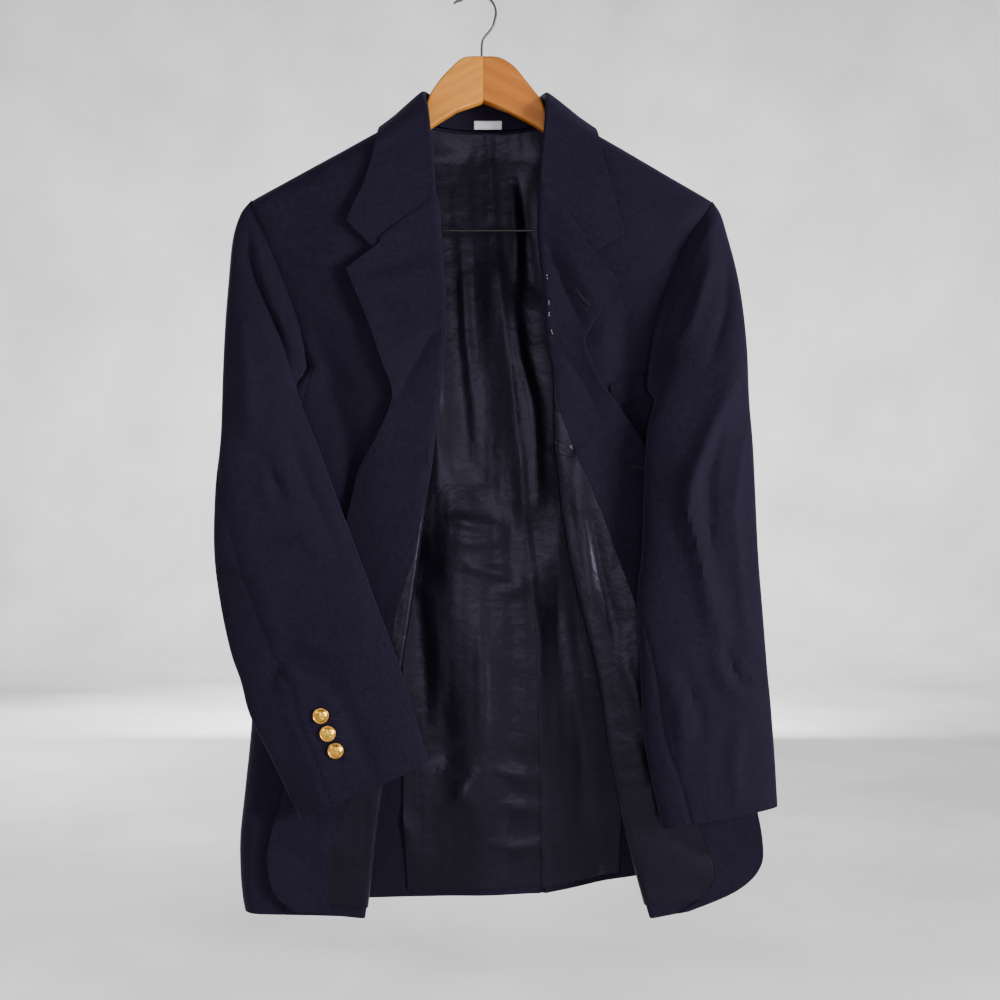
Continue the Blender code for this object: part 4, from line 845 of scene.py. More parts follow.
def make_wood(name, slope, pale, dark, shift, rings):
    finish, tree, shader = new_finish(name)
    along = object_map(tree, (1.0, 1.0, 1.0), (0.0, slope, 0.0), shift)
    stretched = node(tree, "ShaderNodeMapping", (-720, -300), Scale=(0.09, 1.0, 1.0))
    tree.links.new(along, stretched.inputs["Vector"])
    ring = node(tree, "ShaderNodeTexWave", (-520, 100), Scale=rings, Distortion=5.0)
    ring.bands_direction = "Z"
    ring.inputs["Detail"].default_value = 3.0
    ring.inputs["Detail Scale"].default_value = 1.2
    tree.links.new(stretched.outputs["Vector"], ring.inputs["Vector"])
    pores = noise(tree, stretched.outputs["Vector"], 420.0, 3.0, 0.7, (-520, -300))
    colour = ramp(tree, ring.outputs["Fac"], ((0.1, dark), (0.9, pale)), (-300, 200))
    spot = ramp(tree, pores, ((0.3, (0.75, 0.7, 0.62)), (0.6, (1.0, 1.0, 1.0))), (-300, -100))
    both = node(tree, "ShaderNodeMix", (-100, 200), data_type="RGBA", blend_type="MULTIPLY")
    both.inputs["Factor"].default_value = 0.5
    tree.links.new(colour.outputs["Color"], both.inputs["A"])
    tree.links.new(spot.outputs["Color"], both.inputs["B"])
    tree.links.new(both.outputs["Result"], shader.inputs["Base Color"])
    tree.links.new(bump(tree, pores, 0.12, 0.0004).outputs["Normal"], shader.inputs["Normal"])
    shader.inputs["Roughness"].default_value = 0.45
    shader.inputs["Specular IOR Level"].default_value = 0.3
    shader.inputs["Coat Weight"].default_value = 0.25
    shader.inputs["Coat Roughness"].default_value = 0.2
    return finish


gilt = make_gilt("gilt_brass")
ARM_SLOPE = 0.48
wood_right = make_wood("varnished_wood_right", ARM_SLOPE, pale=(0.46, 0.180, 0.020),
                       dark=(0.42, 0.158, 0.017), shift=(0, 0, 0), rings=26.0)
wood_left = make_wood("varnished_wood_left", -ARM_SLOPE, pale=(0.34, 0.108, 0.009),
                      dark=(0.29, 0.086, 0.006), shift=(0, 0, 0.02), rings=20.0)
print("wood grain turned by degrees:", round(math.degrees(ARM_SLOPE)))

# %% [markdown]
# ## Outer wool: fronts, side panels and backs
# These are the large pieces. The front hangs, turns outwards at the fold and ends in the flap,
# all in one piece as it was cut. The back is cut in two with a vent at the hem, where the left
# half laps over the right.

# %% Fronts
def along_edge(value):
    return lambda place: np.full(np.shape(place), float(value))


def seam_of(side, surface):
    def border(place):
        panel = side.row(place)["panel"]
        run = side.turn_share(surface, place, np.maximum(panel, 1e-3), SEAM)
        return panel + np.where(panel > 0.01, run, 0.0)
    return border


def make_front(side):
    surface = side.front_point
    turns = fine_turns()
    places = fine_places(side, 0, LAST_ROW)
    body = surface(places[:, None], bordered(side, surface, places, turns[turns <= 1.0],
                                             seam_of(side, surface), along_edge(1.0)))
    low = places[places >= GORGE_ROW]
    flap = surface(low[:, None], bordered(side, surface, low, turns[turns >= 1.0],
                                          along_edge(1.0), along_edge(3.0)))
    grids = [inset(roll_in(body, start=1), top=SEAM), flap]
    piece = make_sheet("front_%s_wool" % side.name, grids, WOOL, wool)
    dress(piece, "front_" + side.name, grids)


for side in (RIGHT, LEFT):
    make_front(side)

# %% Side panels
def make_side_panel(side):
    places = fine_places(side, UNDERARM_ROW, LAST_ROW)
    halves = []
    for surface in (side.front_point, side.back_point):
        def finish(place, surface=surface):
            panel = side.row(place)["panel"]
            return np.maximum(panel - side.turn_share(surface, place, panel, SEAM), 0.002)
        high = finish(places[:, None])
        shares = np.concatenate((np.linspace(0, 0.3, 8), np.linspace(0.36, 0.97, 9), [0.985, 1.0]))
        halves.append(surface(places[:, None], high * shares[None, :]))
    grid = np.concatenate((halves[0][:, ::-1], halves[1][:, 1:]), axis=1)
    grids = [inset(roll_in(grid, start=1, finish=-1), top=SEAM)]
    # the two small points that reach up beside the armhole
    places = fine_places(side, UNDERARM_ROW - 1, UNDERARM_ROW)[:, None]
    reach = np.maximum(side.row(places)["panel"], 1e-3) * np.linspace(0, 1, 6)
    grids += [surface(places, reach) for surface in (side.front_point, side.back_point)]
    piece = make_sheet("side_%s_wool" % side.name, grids, WOOL, wool)
    dress(piece, "side_" + side.name, grids)


for side in (RIGHT, LEFT):
    make_side_panel(side)

# %% Backs and vent
BACK_SHARES = np.concatenate(([0.0, 0.01, 0.025, 0.045, 0.07], np.linspace(0.1, 1.0, 44)))


def make_back(side):
    surface = side.back_point
    places = fine_places(side, 0, LAST_ROW)

    def centre(place):
        height = surface(place, 1.0)[..., 2]
        away = np.where((height < VENT_TOP_Z) & (side is RIGHT), VENT_CLEARANCE, SEAM)
        return 1.0 - side.turn_share(surface, place, np.full(np.shape(place), 0.99), away)

    grid = surface(places[:, None], bordered(side, surface, places, BACK_SHARES,
                                             seam_of(side, surface), centre))
    grids = [inset(roll_in(grid, start=-1, finish=-1), top=SEAM)]
    if side is LEFT:
        edge = grids[0][:, -1]
        edge = edge[edge[:, 2] < VENT_TOP_Z]
        # the extension steps down behind the edge, then runs on flat
        steps = ((0.0, 0.0), (1.5, 1.2), *((run, VENT_STEP) for run in (3.5, 10.0, 18.0, 26.0, VENT_WIDTH)))
        grids.append(np.stack([edge + (-run, step, 0.0) for run, step in steps], axis=1))
    piece = make_sheet("back_%s_wool" % side.name, grids, WOOL, wool)
    dress(piece, "back_" + side.name, grids)


for side in (RIGHT, LEFT):
    make_back(side)

# %% [markdown]
# ## Facings and linings
# The facing is the strip of wool that makes the lapel's face and runs down inside the front
# edge. It is sewn to the front at the very edge, so there the two lie close together. The satin
# is felled to the facing and ends short of the hem, where a strip of wool shows.

# %% Facings
GORGE_TUCK, COLLAR_END_GAP = 4.5, 7.0
CLOSED_OVER, CLOSED_BY = 5.0, 0.45


def make_facing(side):
    surface = side.front_point
    places = fine_places(side, GORGE_ROW, LAST_ROW)

    def seam(place):
        turn = side.row(place)["seam"]
        return turn + side.turn_share(surface, place, turn, SEAM)

    turn = bordered(side, surface, places, fine_turns(), seam, along_edge(3.0))
    outer = surface(places[:, None], turn)
    close = np.zeros(outer.shape[:2])
    run = np.linalg.norm(np.diff(outer, axis=1), axis=-1)[:, ::-1].cumsum(axis=1)[:, ::-1]
    close[:, :-1] = np.clip(1.0 - run / CLOSED_OVER, 0.0, 1.0)
    close[:, -1] = 1.0
    distance = (WOOL + FACING) / 2 + LAYER_GAP - CLOSED_BY * close
    grids = [inset(side.inner(surface, places[:, None], turn, distance), top=SEAM)]
    # along the gorge seam the facing runs a little way under the collar
    covered = abs(grids[0][0, :, 0]) < abs(NOTCH[side.name][0]) - COLLAR_END_GAP
    gorge, below = grids[0][0, covered], grids[0][1, covered]
    upwards = (gorge - below) / np.linalg.norm(gorge - below, axis=-1, keepdims=True)
    grids.append(np.stack([gorge + upwards * GORGE_TUCK * share + (0.0, share, 0.0)
                           for share in (0.0, 0.4, 1.0)]))
    piece = make_sheet("facing_%s_wool" % side.name, grids, FACING, wool)
    dress(piece, "facing_" + side.name, grids)


for side in (RIGHT, LEFT):
    make_facing(side)

# %% Front linings
FRONT_LINING_END = LAST_ROW - 0.7
LINING_START_TURN = 0.6


def make_front_lining(side):
    surface = side.front_point
    places = fine_places(side, LINING_ROW, FRONT_LINING_END)

    def seam(place):
        turn = side.row(place)["seam"]
        return turn - side.turn_share(surface, place, turn, SEAM)

    turn = bordered(side, surface, places, fine_turns(), along_edge(LINING_START_TURN), seam)
    distance = np.full(turn.shape, (WOOL + SATIN) / 2 + LAYER_GAP)
    grids = [side.inner(surface, places[:, None], turn, distance)]
    piece = make_sheet("lining_front_%s_satin" % side.name, grids, SATIN, satin)
    dress(piece, "lining_front_" + side.name, grids)


for side in (RIGHT, LEFT):
    make_front_lining(side)

# %% Back linings, which hang a little looser than the wool
PLEAT_LAP, PLEAT_LIFT = 4.0, 1.3
BACK_LINING_ROWS = (0.12, LAST_ROW - 0.5)
BACK_LINING_START = 2 / 7
MOST_LOOSE = 0.35


def make_back_lining(side):
    surface = side.back_point
    places = fine_places(side, *BACK_LINING_ROWS)

    def start(place):
        return mix(side.row(place)["panel"], 1.0, BACK_LINING_START)

    def centre(place):
        past = PLEAT_LAP if side is LEFT else -SEAM
        return 1.0 + side.turn_share(surface, place, np.full(np.shape(place), 0.99), past)

    turn = bordered(side, surface, places, BACK_SHARES, start, centre)
    distance = np.full(turn.shape, -(WOOL + SATIN) / 2 - LAYER_GAP)
    grid = side.inner(surface, places[:, None], turn, distance)
    if side is LEFT:
        from_edge = np.linalg.norm(grid - grid[:, -1:], axis=-1)
        grid[..., 1] -= PLEAT_LIFT * np.clip(2.2 - from_edge / PLEAT_LAP, 0.0, 1.0)
    x, z = grid[..., 0], grid[..., 2]
    loose = np.minimum(creases("back_lining", x, z) + unevenness(x, z, 0.5, 5.0), MOST_LOOSE)
    free = rounding((places[:, None] - BACK_LINING_ROWS[0]) / 3)
    grid[..., 1] += loose * free
    piece = make_sheet("lining_back_%s_satin" % side.name, [grid], SATIN, satin)
    dress(piece, "lining_back_" + side.name, [grid])


for side in (RIGHT, LEFT):
    make_back_lining(side)

# %% [markdown]
# ## Sleeves
# A tailored sleeve is a tube of two pieces, cut curved so that it bends at the elbow. Here the
# tube lies flat over the folded front. The columns run round the tube and stop at the two seams.

# %% Sleeves
SLEEVE_DIP = (1.1, 0.7, 0.2)


def make_sleeve(side):
    places = np.concatenate((np.linspace(0, 4, 40), np.linspace(4, len(side.sleeve) - 1, 92)[1:]))
    gap = math.degrees(SLEEVE_SEAM / SLEEVE_RADIUS) * 0.55
    row = named(side.sleeve, SLEEVE_COLUMNS, places)
    hind, fore = row["hind"][:, None], row["fore"][:, None]
    edges = np.array((0.0, 1.2, 3.0))
    for name, begin, finish in (("top", hind + gap, fore - gap), ("under", fore + gap, 360 + hind - gap)):
        middle = np.clip(np.arange(-72.0, 432.0, 5.0)[None, :], begin + edges[-1], finish - edges[-1])
        angle = np.concatenate((begin + edges, middle, finish - edges[::-1]), axis=1)
        grid = side.sleeve_point(places[:, None], angle)
        walls = [side.sleeve_point(places[:, None], np.full((len(places), 1), way)) for way in (90.0, -90.0)]
        middle_line = (walls[0] + walls[1]) / 2
        for column, dip in enumerate(SLEEVE_DIP):
            for border in (column, -1 - column):
                away = middle_line[:, 0] - grid[:, border]
                grid[:, border] += away / np.linalg.norm(away, axis=-1, keepdims=True) * dip
        sleeve = "%s_sleeve_%s" % (name, side.name)
        piece = make_sheet(sleeve + "_wool", [grid], WOOL, wool)
        dress(piece, sleeve, [grid])


for side in (RIGHT, LEFT):
    make_sleeve(side)

# %% [markdown]
# ## Collar
# The collar is one band: a leaf that lies outside, a roll at the top and a stand inside the
# neck. Its ends are cut back to make the notches with the lapels.

# %% Collar
def collar_line(side, place):
    """Points across the collar at one station, from the leaf's edge round the roll to the stand."""
    row = named(side.collar, COLLAR_COLUMNS, place)
    leaf, roll, stand = (np.array([row[part + axis] for axis in ("_x", "_y", "_z")])
                         for part in ("leaf", "roll", "stand"))
    end = side.collar[0]
    corner = np.array(NOTCH[side.name]) - mix(np.array(end[0:3]), np.array(end[3:6]), 0.33)
    notch = mix(leaf, roll, 0.33) + corner * max(1.0 - place, 0.0)
    to_leaf = (notch - roll) / np.linalg.norm(notch - roll)
    to_stand = (stand - roll) / np.linalg.norm(stand - roll)
    inwards = (to_leaf + to_stand) / np.linalg.norm(to_leaf + to_stand) * ROLL_RADIUS
    apart = (to_leaf - to_stand) / np.linalg.norm(to_leaf - to_stand) * ROLL_RADIUS
    centre = roll + inwards
    line = [mix(leaf, notch, share) for share in (0.0, 0.06, 0.2, 0.4, 0.6, 0.8, 1.0)]
    line += [mix(notch, centre + apart, share) for share in np.linspace(0, 1, 13)[1:]]
    line += [centre + apart * math.cos(t) - inwards * math.sin(t) for t in np.linspace(0, math.pi, 9)[1:]]
    line += [mix(centre - apart, stand, share) for share in (0.25, 0.5, 0.75, 0.95, 1.0)]
    return line


NECK_RISE = 4.5


def make_collar():
    last = len(COLLAR_RIGHT) - 1
    places = np.concatenate(([0.0, 0.03, 0.1], np.linspace(0.2, last, 66)))
    rows = [collar_line(RIGHT, p) for p in places] + [collar_line(LEFT, p) for p in places[::-1][1:]]
    grid = inset(np.array(rows), top=SEAM, bottom=SEAM)
    x, z = grid[..., 0], grid[..., 2]
    fall = np.zeros(grid.shape[:2])
    fall[:, :18] = np.sin(np.linspace(0, math.pi, 18)) ** 0.5
    grid[..., 1] += unevenness(x, z, 0.5, 4.0) * fall
    middle = np.sin(np.linspace(0, math.pi, len(grid))) ** 4
    roll = np.sin(np.linspace(0, math.pi, grid.shape[1])) ** 2
    grid[..., 2] += NECK_RISE * middle[:, None] * roll[None, :]
    piece = make_sheet("collar_wool", [grid], COLLAR_WALL, wool)
    dress(piece, "collar", [grid])


make_collar()

# %% [markdown]
# ## Pocket welts and the label
# The breast welt peeps out under the left flap, and the inner pocket's satin welt shows on the
# lining. Each takes its points from the panel it is sewn on and is moved out by the layers that
# lie between. The label is bare.

# %% Welts and label
BREAST_WELT_X, BREAST_WELT_Z, BREAST_WELT_SLANT = (137.0, 172.0), (-405.0, -427.0), 0.3
BREAST_WELT_OUT = 2.1
POCKET_WELT_Z = (-463.0, -478.0)
LABEL_X, LABEL_Z, LABEL_Y = (-2.5, 26.5), (-124.5, -133.5), 22.2


def row_place(side, z):
    return float(np.interp(-z, [-row[3] for row in side.front], range(LAST_ROW + 1)))


def make_breast_welt():
    x = np.linspace(*BREAST_WELT_X, 16)[None, :] + np.zeros((9, 1))
    z = np.linspace(*BREAST_WELT_Z, 9)[:, None] + BREAST_WELT_SLANT * (x - BREAST_WELT_X[0])
    rows = named(LEFT.front, FRONT_COLUMNS, np.vectorize(lambda h: row_place(LEFT, h))(z))
    y = LEFT.wall_y(x, z, rows, FRONT_Y, FRONT_SIDE_ROUND) + LEFT.front_push(x, z) - BREAST_WELT_OUT
    piece = make_sheet("breast_welt_wool", [np.stack((x, y, z), -1)], 1.0, wool)
    dress(piece, "breast_welt")


def make_pocket_welt():
    distance = WOOL / 2 + LAYER_GAP + SATIN + 0.9
    rows = []
    for height in np.linspace(*POCKET_WELT_Z, 7):
        place = row_place(LEFT, height)
        turns = np.linspace(1.6, float(LEFT.row(np.array(place))["seam"]) - 0.02, 12)
        rows.append(LEFT.inner(LEFT.front_point, np.full(turns.shape, place), turns,
                               np.full(turns.shape, distance)))
    piece = make_sheet("inner_pocket_welt_satin", [np.array(rows)], 0.9, satin)
    dress(piece, "inner_pocket_welt")


def make_label():
    x = np.linspace(*LABEL_X, 16)[None, :] + np.zeros((7, 1))
    z = np.linspace(*LABEL_Z, 7)[:, None] + 0.0 * x
    y = LABEL_Y + 0.25 * np.sin(x / 5.0) * np.cos(z)
    piece = make_sheet("neck_label_cloth", [np.stack((x, y, z), -1)], 0.6, label_cloth)
    dress(piece, "neck_label")


make_breast_welt()
make_pocket_welt()
make_label()
print("label, mm:", LABEL_X[1] - LABEL_X[0], "x", LABEL_Z[0] - LABEL_Z[1])

# %% [markdown]
# ## Sleeve buttons
# A blazer button is a stamped shell: a rim with a bead, and a low dome with a raised pattern.
# The profile is spun round its axis and the pattern is a rosette, which stands for no one's
# badge. The thread shank underneath holds it off the cloth.

# %% Buttons
BUTTON_RADIUS, BUTTON_HEIGHT = 8.0, 4.2
BUTTONS = {"right": ((-152.0, -735.5), (-146.3, -753.8), (-139.0, -770.0)),
           "left": ((285.5, -742.0), (287.5, -761.0), (289.5, -780.0))}
PROFILE = ((0.0, 0.0), (0.5, 0.0), (0.9, 0.12), (0.97, 0.26), (1.0, 0.4), (0.985, 0.52), (0.95, 0.6),
           (0.9, 0.62), (0.86, 0.58), (0.83, 0.5), (0.78, 0.58), (0.7, 0.72), (0.6, 0.82), (0.5, 0.88),
           (0.4, 0.93), (0.3, 0.96), (0.2, 0.985), (0.1, 0.995), (0.0, 1.0))
SHANK_RADIUS, SHANK_LENGTH, SHANK_SINK, BUTTON_OFF_CLOTH = 1.1, 1.2, 0.5, 1.1


def sleeve_place(side, x, z, front):
    angles = np.linspace(5, 175, 120) if front else np.linspace(-175, -5, 120)
    places, turns = np.meshgrid(np.linspace(9, len(side.sleeve) - 1, 160), angles, indexing="ij")
    points = side.sleeve_point(places, turns)
    best = np.unravel_index(np.argmin(np.hypot(points[..., 0] - x, points[..., 2] - z)), places.shape)
    return float(places[best]), float(turns[best])


def sleeve_frame(side, spot, front):
    """Centre and outward normal of the sleeve's wall at a button."""
    place, angle = sleeve_place(side, *spot, front)
    centre = side.sleeve_point(place, angle)
    across = side.sleeve_point(place, angle + 2.0) - side.sleeve_point(place, angle - 2.0)
    along = side.sleeve_point(place + 0.1, angle) - side.sleeve_point(place - 0.1, angle)
    normal = Vector(np.cross(across, along)).normalized()
    if (normal.y > 0) == front:
        normal.negate()
    return Vector(centre), normal


def make_button(side, number, spot):
    steps = 48
    centre, normal = sleeve_frame(side, spot, side is RIGHT)
    turned = bmesh.new()
    rings = []
    for radius, height in PROFILE:
        ring = []
        for step in range(steps if radius else 1):
            angle = 2 * math.pi * step / steps
            petal = math.exp(-((radius - 0.42) / 0.2) ** 2) * max(math.cos(6 * angle), -0.2)
            bead = 0.05 * math.exp(-((radius - 0.9) / 0.05) ** 2) * math.cos(24 * angle)
            lift = (height + 0.10 * petal * (height > 0.3) + bead) * BUTTON_HEIGHT
            ring.append(turned.verts.new((radius * BUTTON_RADIUS * math.cos(angle),
                                          radius * BUTTON_RADIUS * math.sin(angle), lift)))
        rings.append(ring)
    for inner, outer in zip(rings, rings[1:]):
        for k in range(steps):
            a = [inner[k % len(inner)], inner[(k + 1) % len(inner)]]
            b = [outer[(k + 1) % len(outer)], outer[k % len(outer)]]
            corners = list(dict.fromkeys(a + b))
            turned.faces.new(corners).smooth = True
    shank = bmesh.ops.create_cone(turned, cap_ends=True, segments=12, radius1=SHANK_RADIUS,
                                  radius2=SHANK_RADIUS, depth=SHANK_LENGTH)
    bmesh.ops.translate(turned, verts=shank["verts"], vec=(0, 0, -SHANK_SINK))
    bmesh.ops.recalc_face_normals(turned, faces=turned.faces)
    turn = normal.to_track_quat("Z", "Y").to_matrix()
    for vert in turned.verts:
        vert.co = (turn @ vert.co + centre + normal * (WOOL / 2 + BUTTON_OFF_CLOTH)) * MM
    piece = as_piece(turned, "button_%s_%d_gilt" % (side.name, number), gilt)
    dress(piece, "sleeve_button_%s_%d" % (side.name, number))


for side in (RIGHT, LEFT):
    for number, spot in enumerate(BUTTONS[side.name], 1):
        make_button(side, number, spot)
print("buttons:", {name: len(spots) for name, spots in BUTTONS.items()})

# %% [markdown]
# ## Hanger
# Each arm is sawn from a board to a curved outline and its edges are rounded over. A filled flat
# curve gives the outline, Extrude the board's thickness, and a Bevel modifier the rounded edge.

# %% Wooden halves
WOOD_THICKNESS, WOOD_ROUND = 12.0, 2.6
MITRE_X, MITRE_GAP = 7.2, 0.02
WOOD_TOP_LEFT = ((23.7, -65.4), (38.1, -73.6), (49.9, -87.0), (59.7, -99.4), (67.5, -110.0),
                 (73.0, -124.0), (81.0, -136.0), (97.0, -144.0), (130.0, -159.0),
                 (170.0, -182.5), (206.0, -204.0), (213.0, -214.0))
WOOD_UNDER_LEFT = ((212.0, -248.0), (205.0, -254.0), (198.0, -248.0), (190.0, -228.0),
                   (165.0, -210.0), (120.0, -182.0), (71.0, -142.7), (32.0, -121.0))
WOOD_TOP_RIGHT = ((-12.4, -65.4), (-26.8, -76.7), (-38.1, -89.1), (-46.8, -102.0), (-50.5, -111.0),
                  (-56.0, -126.0), (-66.0, -137.0), (-84.0, -145.5), (-120.0, -163.0),
                  (-160.0, -185.0), (-196.0, -204.0), (-203.0, -214.0))
WOOD_UNDER_RIGHT = ((-202.0, -248.0), (-195.0, -254.0), (-188.0, -248.0), (-180.0, -228.0),
                    (-152.0, -208.0), (-105.0, -178.0), (-49.0, -139.6), (-19.6, -121.0))
WOOD_PEAK_Z = -64.4
WOOD_NOTCH_Z = -111.8
BAR_Z = -243.6
BAR_RADIUS = 1.3
BAR_ENDS = (-185.3, 195.3)
WIRE_RADIUS = 1.35
HOOK_RADIUS = 20.3
HOOK_CENTRE_Z = -18.95
HOOK_STEM = ((17.6, -32.0), (14.2, -37.2), (9.9, -42.2), (6.9, -47.2), (5.7, -53.0), (5.5, -63.6))
HOOK_TIP = ((-23.4, -8.9), (-19.6, -6.4))


def smooth_line(points, steps):
    last = len(points) - 1
    return [tuple(rows_at(points, place)) for place in np.linspace(0, last, last * steps + 1)]


def make_wood_half(side_name, top, under, inward, finish):
    middle = MITRE_X + inward * MITRE_GAP
    outline = smooth_line([(middle, WOOD_PEAK_Z), *top], 4)
    outline += smooth_line(under, 4) + [(middle, WOOD_NOTCH_Z)]
    board = bmesh.new()
    face = board.faces.new([board.verts.new((x, -WOOD_THICKNESS / 2, z)) for x, z in outline])
    grown = bmesh.ops.extrude_face_region(board, geom=[face])
    bmesh.ops.translate(board, verts=[v for v in grown["geom"] if isinstance(v, bmesh.types.BMVert)],
                        vec=(0, WOOD_THICKNESS, 0))
    bmesh.ops.recalc_face_normals(board, faces=board.faces)
    for vert in board.verts:
        vert.co *= MM
    piece = as_piece(board, "hanger_arm_" + side_name, finish)
    mesh = piece.data
    # the glued mitre keeps its sharp edges, the rest is rounded over
    rounded = mesh.attributes.new("bevel_weight_edge", "FLOAT", "EDGE")
    joint = middle * MM
    for line, weight in zip(mesh.edges, rounded.data):
        ends = [mesh.vertices[k].co for k in line.vertices]
        along_board = abs(ends[0].y - ends[1].y) < 1e-6
        weight.value = float(along_board and any(abs(end.x - joint) > 1e-5 for end in ends))
    edge = piece.modifiers.new("rounded_edge", "BEVEL")
    edge.limit_method = "WEIGHT"
    edge.width = WOOD_ROUND * MM
    edge.segments = 4
    edge.use_clamp_overlap = False
    mesh.shade_smooth()
    flat = piece.modifiers.new("flat_faces", "WEIGHTED_NORMAL")
    flat.keep_sharp = True
    dress(piece, "hanger_wood_" + side_name)
    print(piece.name, "outline points:", len(outline))


make_wood_half("left", WOOD_TOP_LEFT, WOOD_UNDER_LEFT, 1, wood_left)
make_wood_half("right", WOOD_TOP_RIGHT, WOOD_UNDER_RIGHT, -1, wood_right)

# %% Hook and bar
def make_wire(name, points, radius, node_name, finish):
    curve = bpy.data.curves.new(name, "CURVE")
    curve.dimensions = "3D"
    curve.bevel_depth = radius * MM
    curve.bevel_resolution = 4
    curve.use_fill_caps = True
    line = curve.splines.new("POLY")
    line.points.add(len(points) - 1)
    for point, (x, y, z) in zip(line.points, points):
        point.co = (x * MM, y * MM, z * MM, 1.0)
    path = bpy.data.objects.new(name + "_path", curve)
    bpy.context.scene.collection.objects.link(path)
    drawn = path.evaluated_get(bpy.context.evaluated_depsgraph_get())
    mesh = bpy.data.meshes.new_from_object(drawn)
    bpy.data.objects.remove(path)
    mesh.name = name
    mesh.materials.clear()
    mesh.materials.append(finish)
    mesh.shade_smooth()
    piece = bpy.data.objects.new(name, mesh)
    bpy.context.scene.collection.objects.link(piece)
    dress(piece, node_name)
    print(name, "faces:", len(mesh.polygons))


round_part = [(HOOK_RADIUS * math.cos(a), HOOK_CENTRE_Z + HOOK_RADIUS * math.sin(a))
              for a in np.radians(np.linspace(139, -18, 40))]
stem = smooth_line([round_part[-1], *HOOK_STEM], 6)[1:]
hook_line = [(x, 0.0, z) for x, z in (*HOOK_TIP, *round_part, *stem)]
bar_line = [(x, 0.0, BAR_Z) for x in np.linspace(*BAR_ENDS, 12)]
make_wire("hook_wire", hook_line, WIRE_RADIUS, "hanger_hook", chrome)
make_wire("trouser_bar", bar_line, BAR_RADIUS, "hanger_bar", bar_steel)

# %% [markdown]
# ## Stitches with Geometry Nodes
# Hand stitches repeat along a line: pick stitches round the lapel's edge, the felling of the
# lining, and the close stitches of a buttonhole. One tree does them all. It resamples the line at
# the stitch length, puts a short rounded stitch at every point, and turns it along the line.

# %% The stitch tree
def stitch_tree():
    tree = bpy.data.node_groups.new("stitches", "GeometryNodeTree")
    face = tree.interface
    face.new_socket("Line", in_out="INPUT", socket_type="NodeSocketGeometry")
    sockets = {}
    for label, value in (("Spacing", 0.004), ("Length", 0.002), ("Thickness", 0.0003), ("Turn", 0.0)):
        made = face.new_socket(label, in_out="INPUT", socket_type="NodeSocketFloat")
        made.default_value = value
        sockets[label] = made.identifier
    thread = face.new_socket("Thread", in_out="INPUT", socket_type="NodeSocketMaterial")
    sockets["Thread"] = thread.identifier
    face.new_socket("Stitches", in_out="OUTPUT", socket_type="NodeSocketGeometry")
    start, end = tree.nodes.new("NodeGroupInput"), tree.nodes.new("NodeGroupOutput")
    to_curve = tree.nodes.new("GeometryNodeMeshToCurve")
    even = tree.nodes.new("GeometryNodeResampleCurve")
    even.mode = "LENGTH"
    tube = tree.nodes.new("GeometryNodeMeshCylinder")
    tube.inputs["Vertices"].default_value = 6
    place = tree.nodes.new("GeometryNodeInstanceOnPoints")
    way = tree.nodes.new("GeometryNodeInputTangent")
    aim = tree.nodes.new("FunctionNodeAlignRotationToVector")
    aim.axis = "Z"
    slant = tree.nodes.new("FunctionNodeRotateRotation")
    slant.rotation_space = "LOCAL"
    tilt = tree.nodes.new("ShaderNodeCombineXYZ")
    real = tree.nodes.new("GeometryNodeRealizeInstances")
    paint = tree.nodes.new("GeometryNodeSetMaterial")
    wire = tree.links.new
    wire(start.outputs["Line"], to_curve.inputs["Mesh"])
    wire(to_curve.outputs["Curve"], even.inputs["Curve"])
    wire(start.outputs["Spacing"], even.inputs["Length"])
    wire(even.outputs["Curve"], place.inputs["Points"])
    wire(start.outputs["Thickness"], tube.inputs["Radius"])
    wire(start.outputs["Length"], tube.inputs["Depth"])
    wire(tube.outputs["Mesh"], place.inputs["Instance"])
    wire(way.outputs["Tangent"], aim.inputs["Vector"])
    wire(start.outputs["Turn"], tilt.inputs["X"])
    wire(aim.outputs["Rotation"], slant.inputs["Rotation"])
    wire(tilt.outputs["Vector"], slant.inputs["Rotate By"])
    wire(slant.outputs["Rotation"], place.inputs["Rotation"])
    wire(place.outputs["Instances"], real.inputs["Geometry"])
    wire(real.outputs["Geometry"], paint.inputs["Geometry"])
    wire(start.outputs["Thread"], paint.inputs["Material"])
    wire(paint.outputs["Geometry"], end.inputs["Stitches"])
    return tree, sockets


stitches, stitch_inputs = stitch_tree()
print("stitch inputs:", list(stitch_inputs))


# %% Sewing along lines
def sew(name, lines, spacing, length, thickness, thread, turn=0.0):
    """Stitches along lines of points in millimetres, made a plain mesh before it is hung."""
    mesh = bpy.data.meshes.new(name)
    points, edges = [], []
    for line in lines:
        first = len(points)
        points += [tuple(np.array(point) * MM) for point in line]
        edges += [(k, k + 1) for k in range(first, len(points) - 1)]
    mesh.from_pydata(points, edges, [])
    piece = bpy.data.objects.new(name, mesh)
    bpy.context.scene.collection.objects.link(piece)
    sewing = piece.modifiers.new("sewing", "NODES")
    sewing.node_group = stitches
    for label, value in (("Spacing", spacing * MM), ("Length", length * MM), ("Thickness", thickness * MM),
                         ("Turn", turn), ("Thread", thread)):
        sewing[stitch_inputs[label]] = value
    bpy.context.view_layer.update()
    done = piece.evaluated_get(bpy.context.evaluated_depsgraph_get())
    made = bpy.data.meshes.new_from_object(done)
    piece.modifiers.remove(sewing)
    piece.data = made
    made.name = name
    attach(piece, "root")
    print("%-24s %d faces" % (name, len(made.polygons)))


def flap_line(side, low, high, turn_of, distance):
    """A line on the facing side of the front, at a turn for each row."""
    places = np.linspace(low, high, 500)
    turns = turn_of(places)
    return side.inner(side.front_point, places, turns, np.full(places.shape, distance))


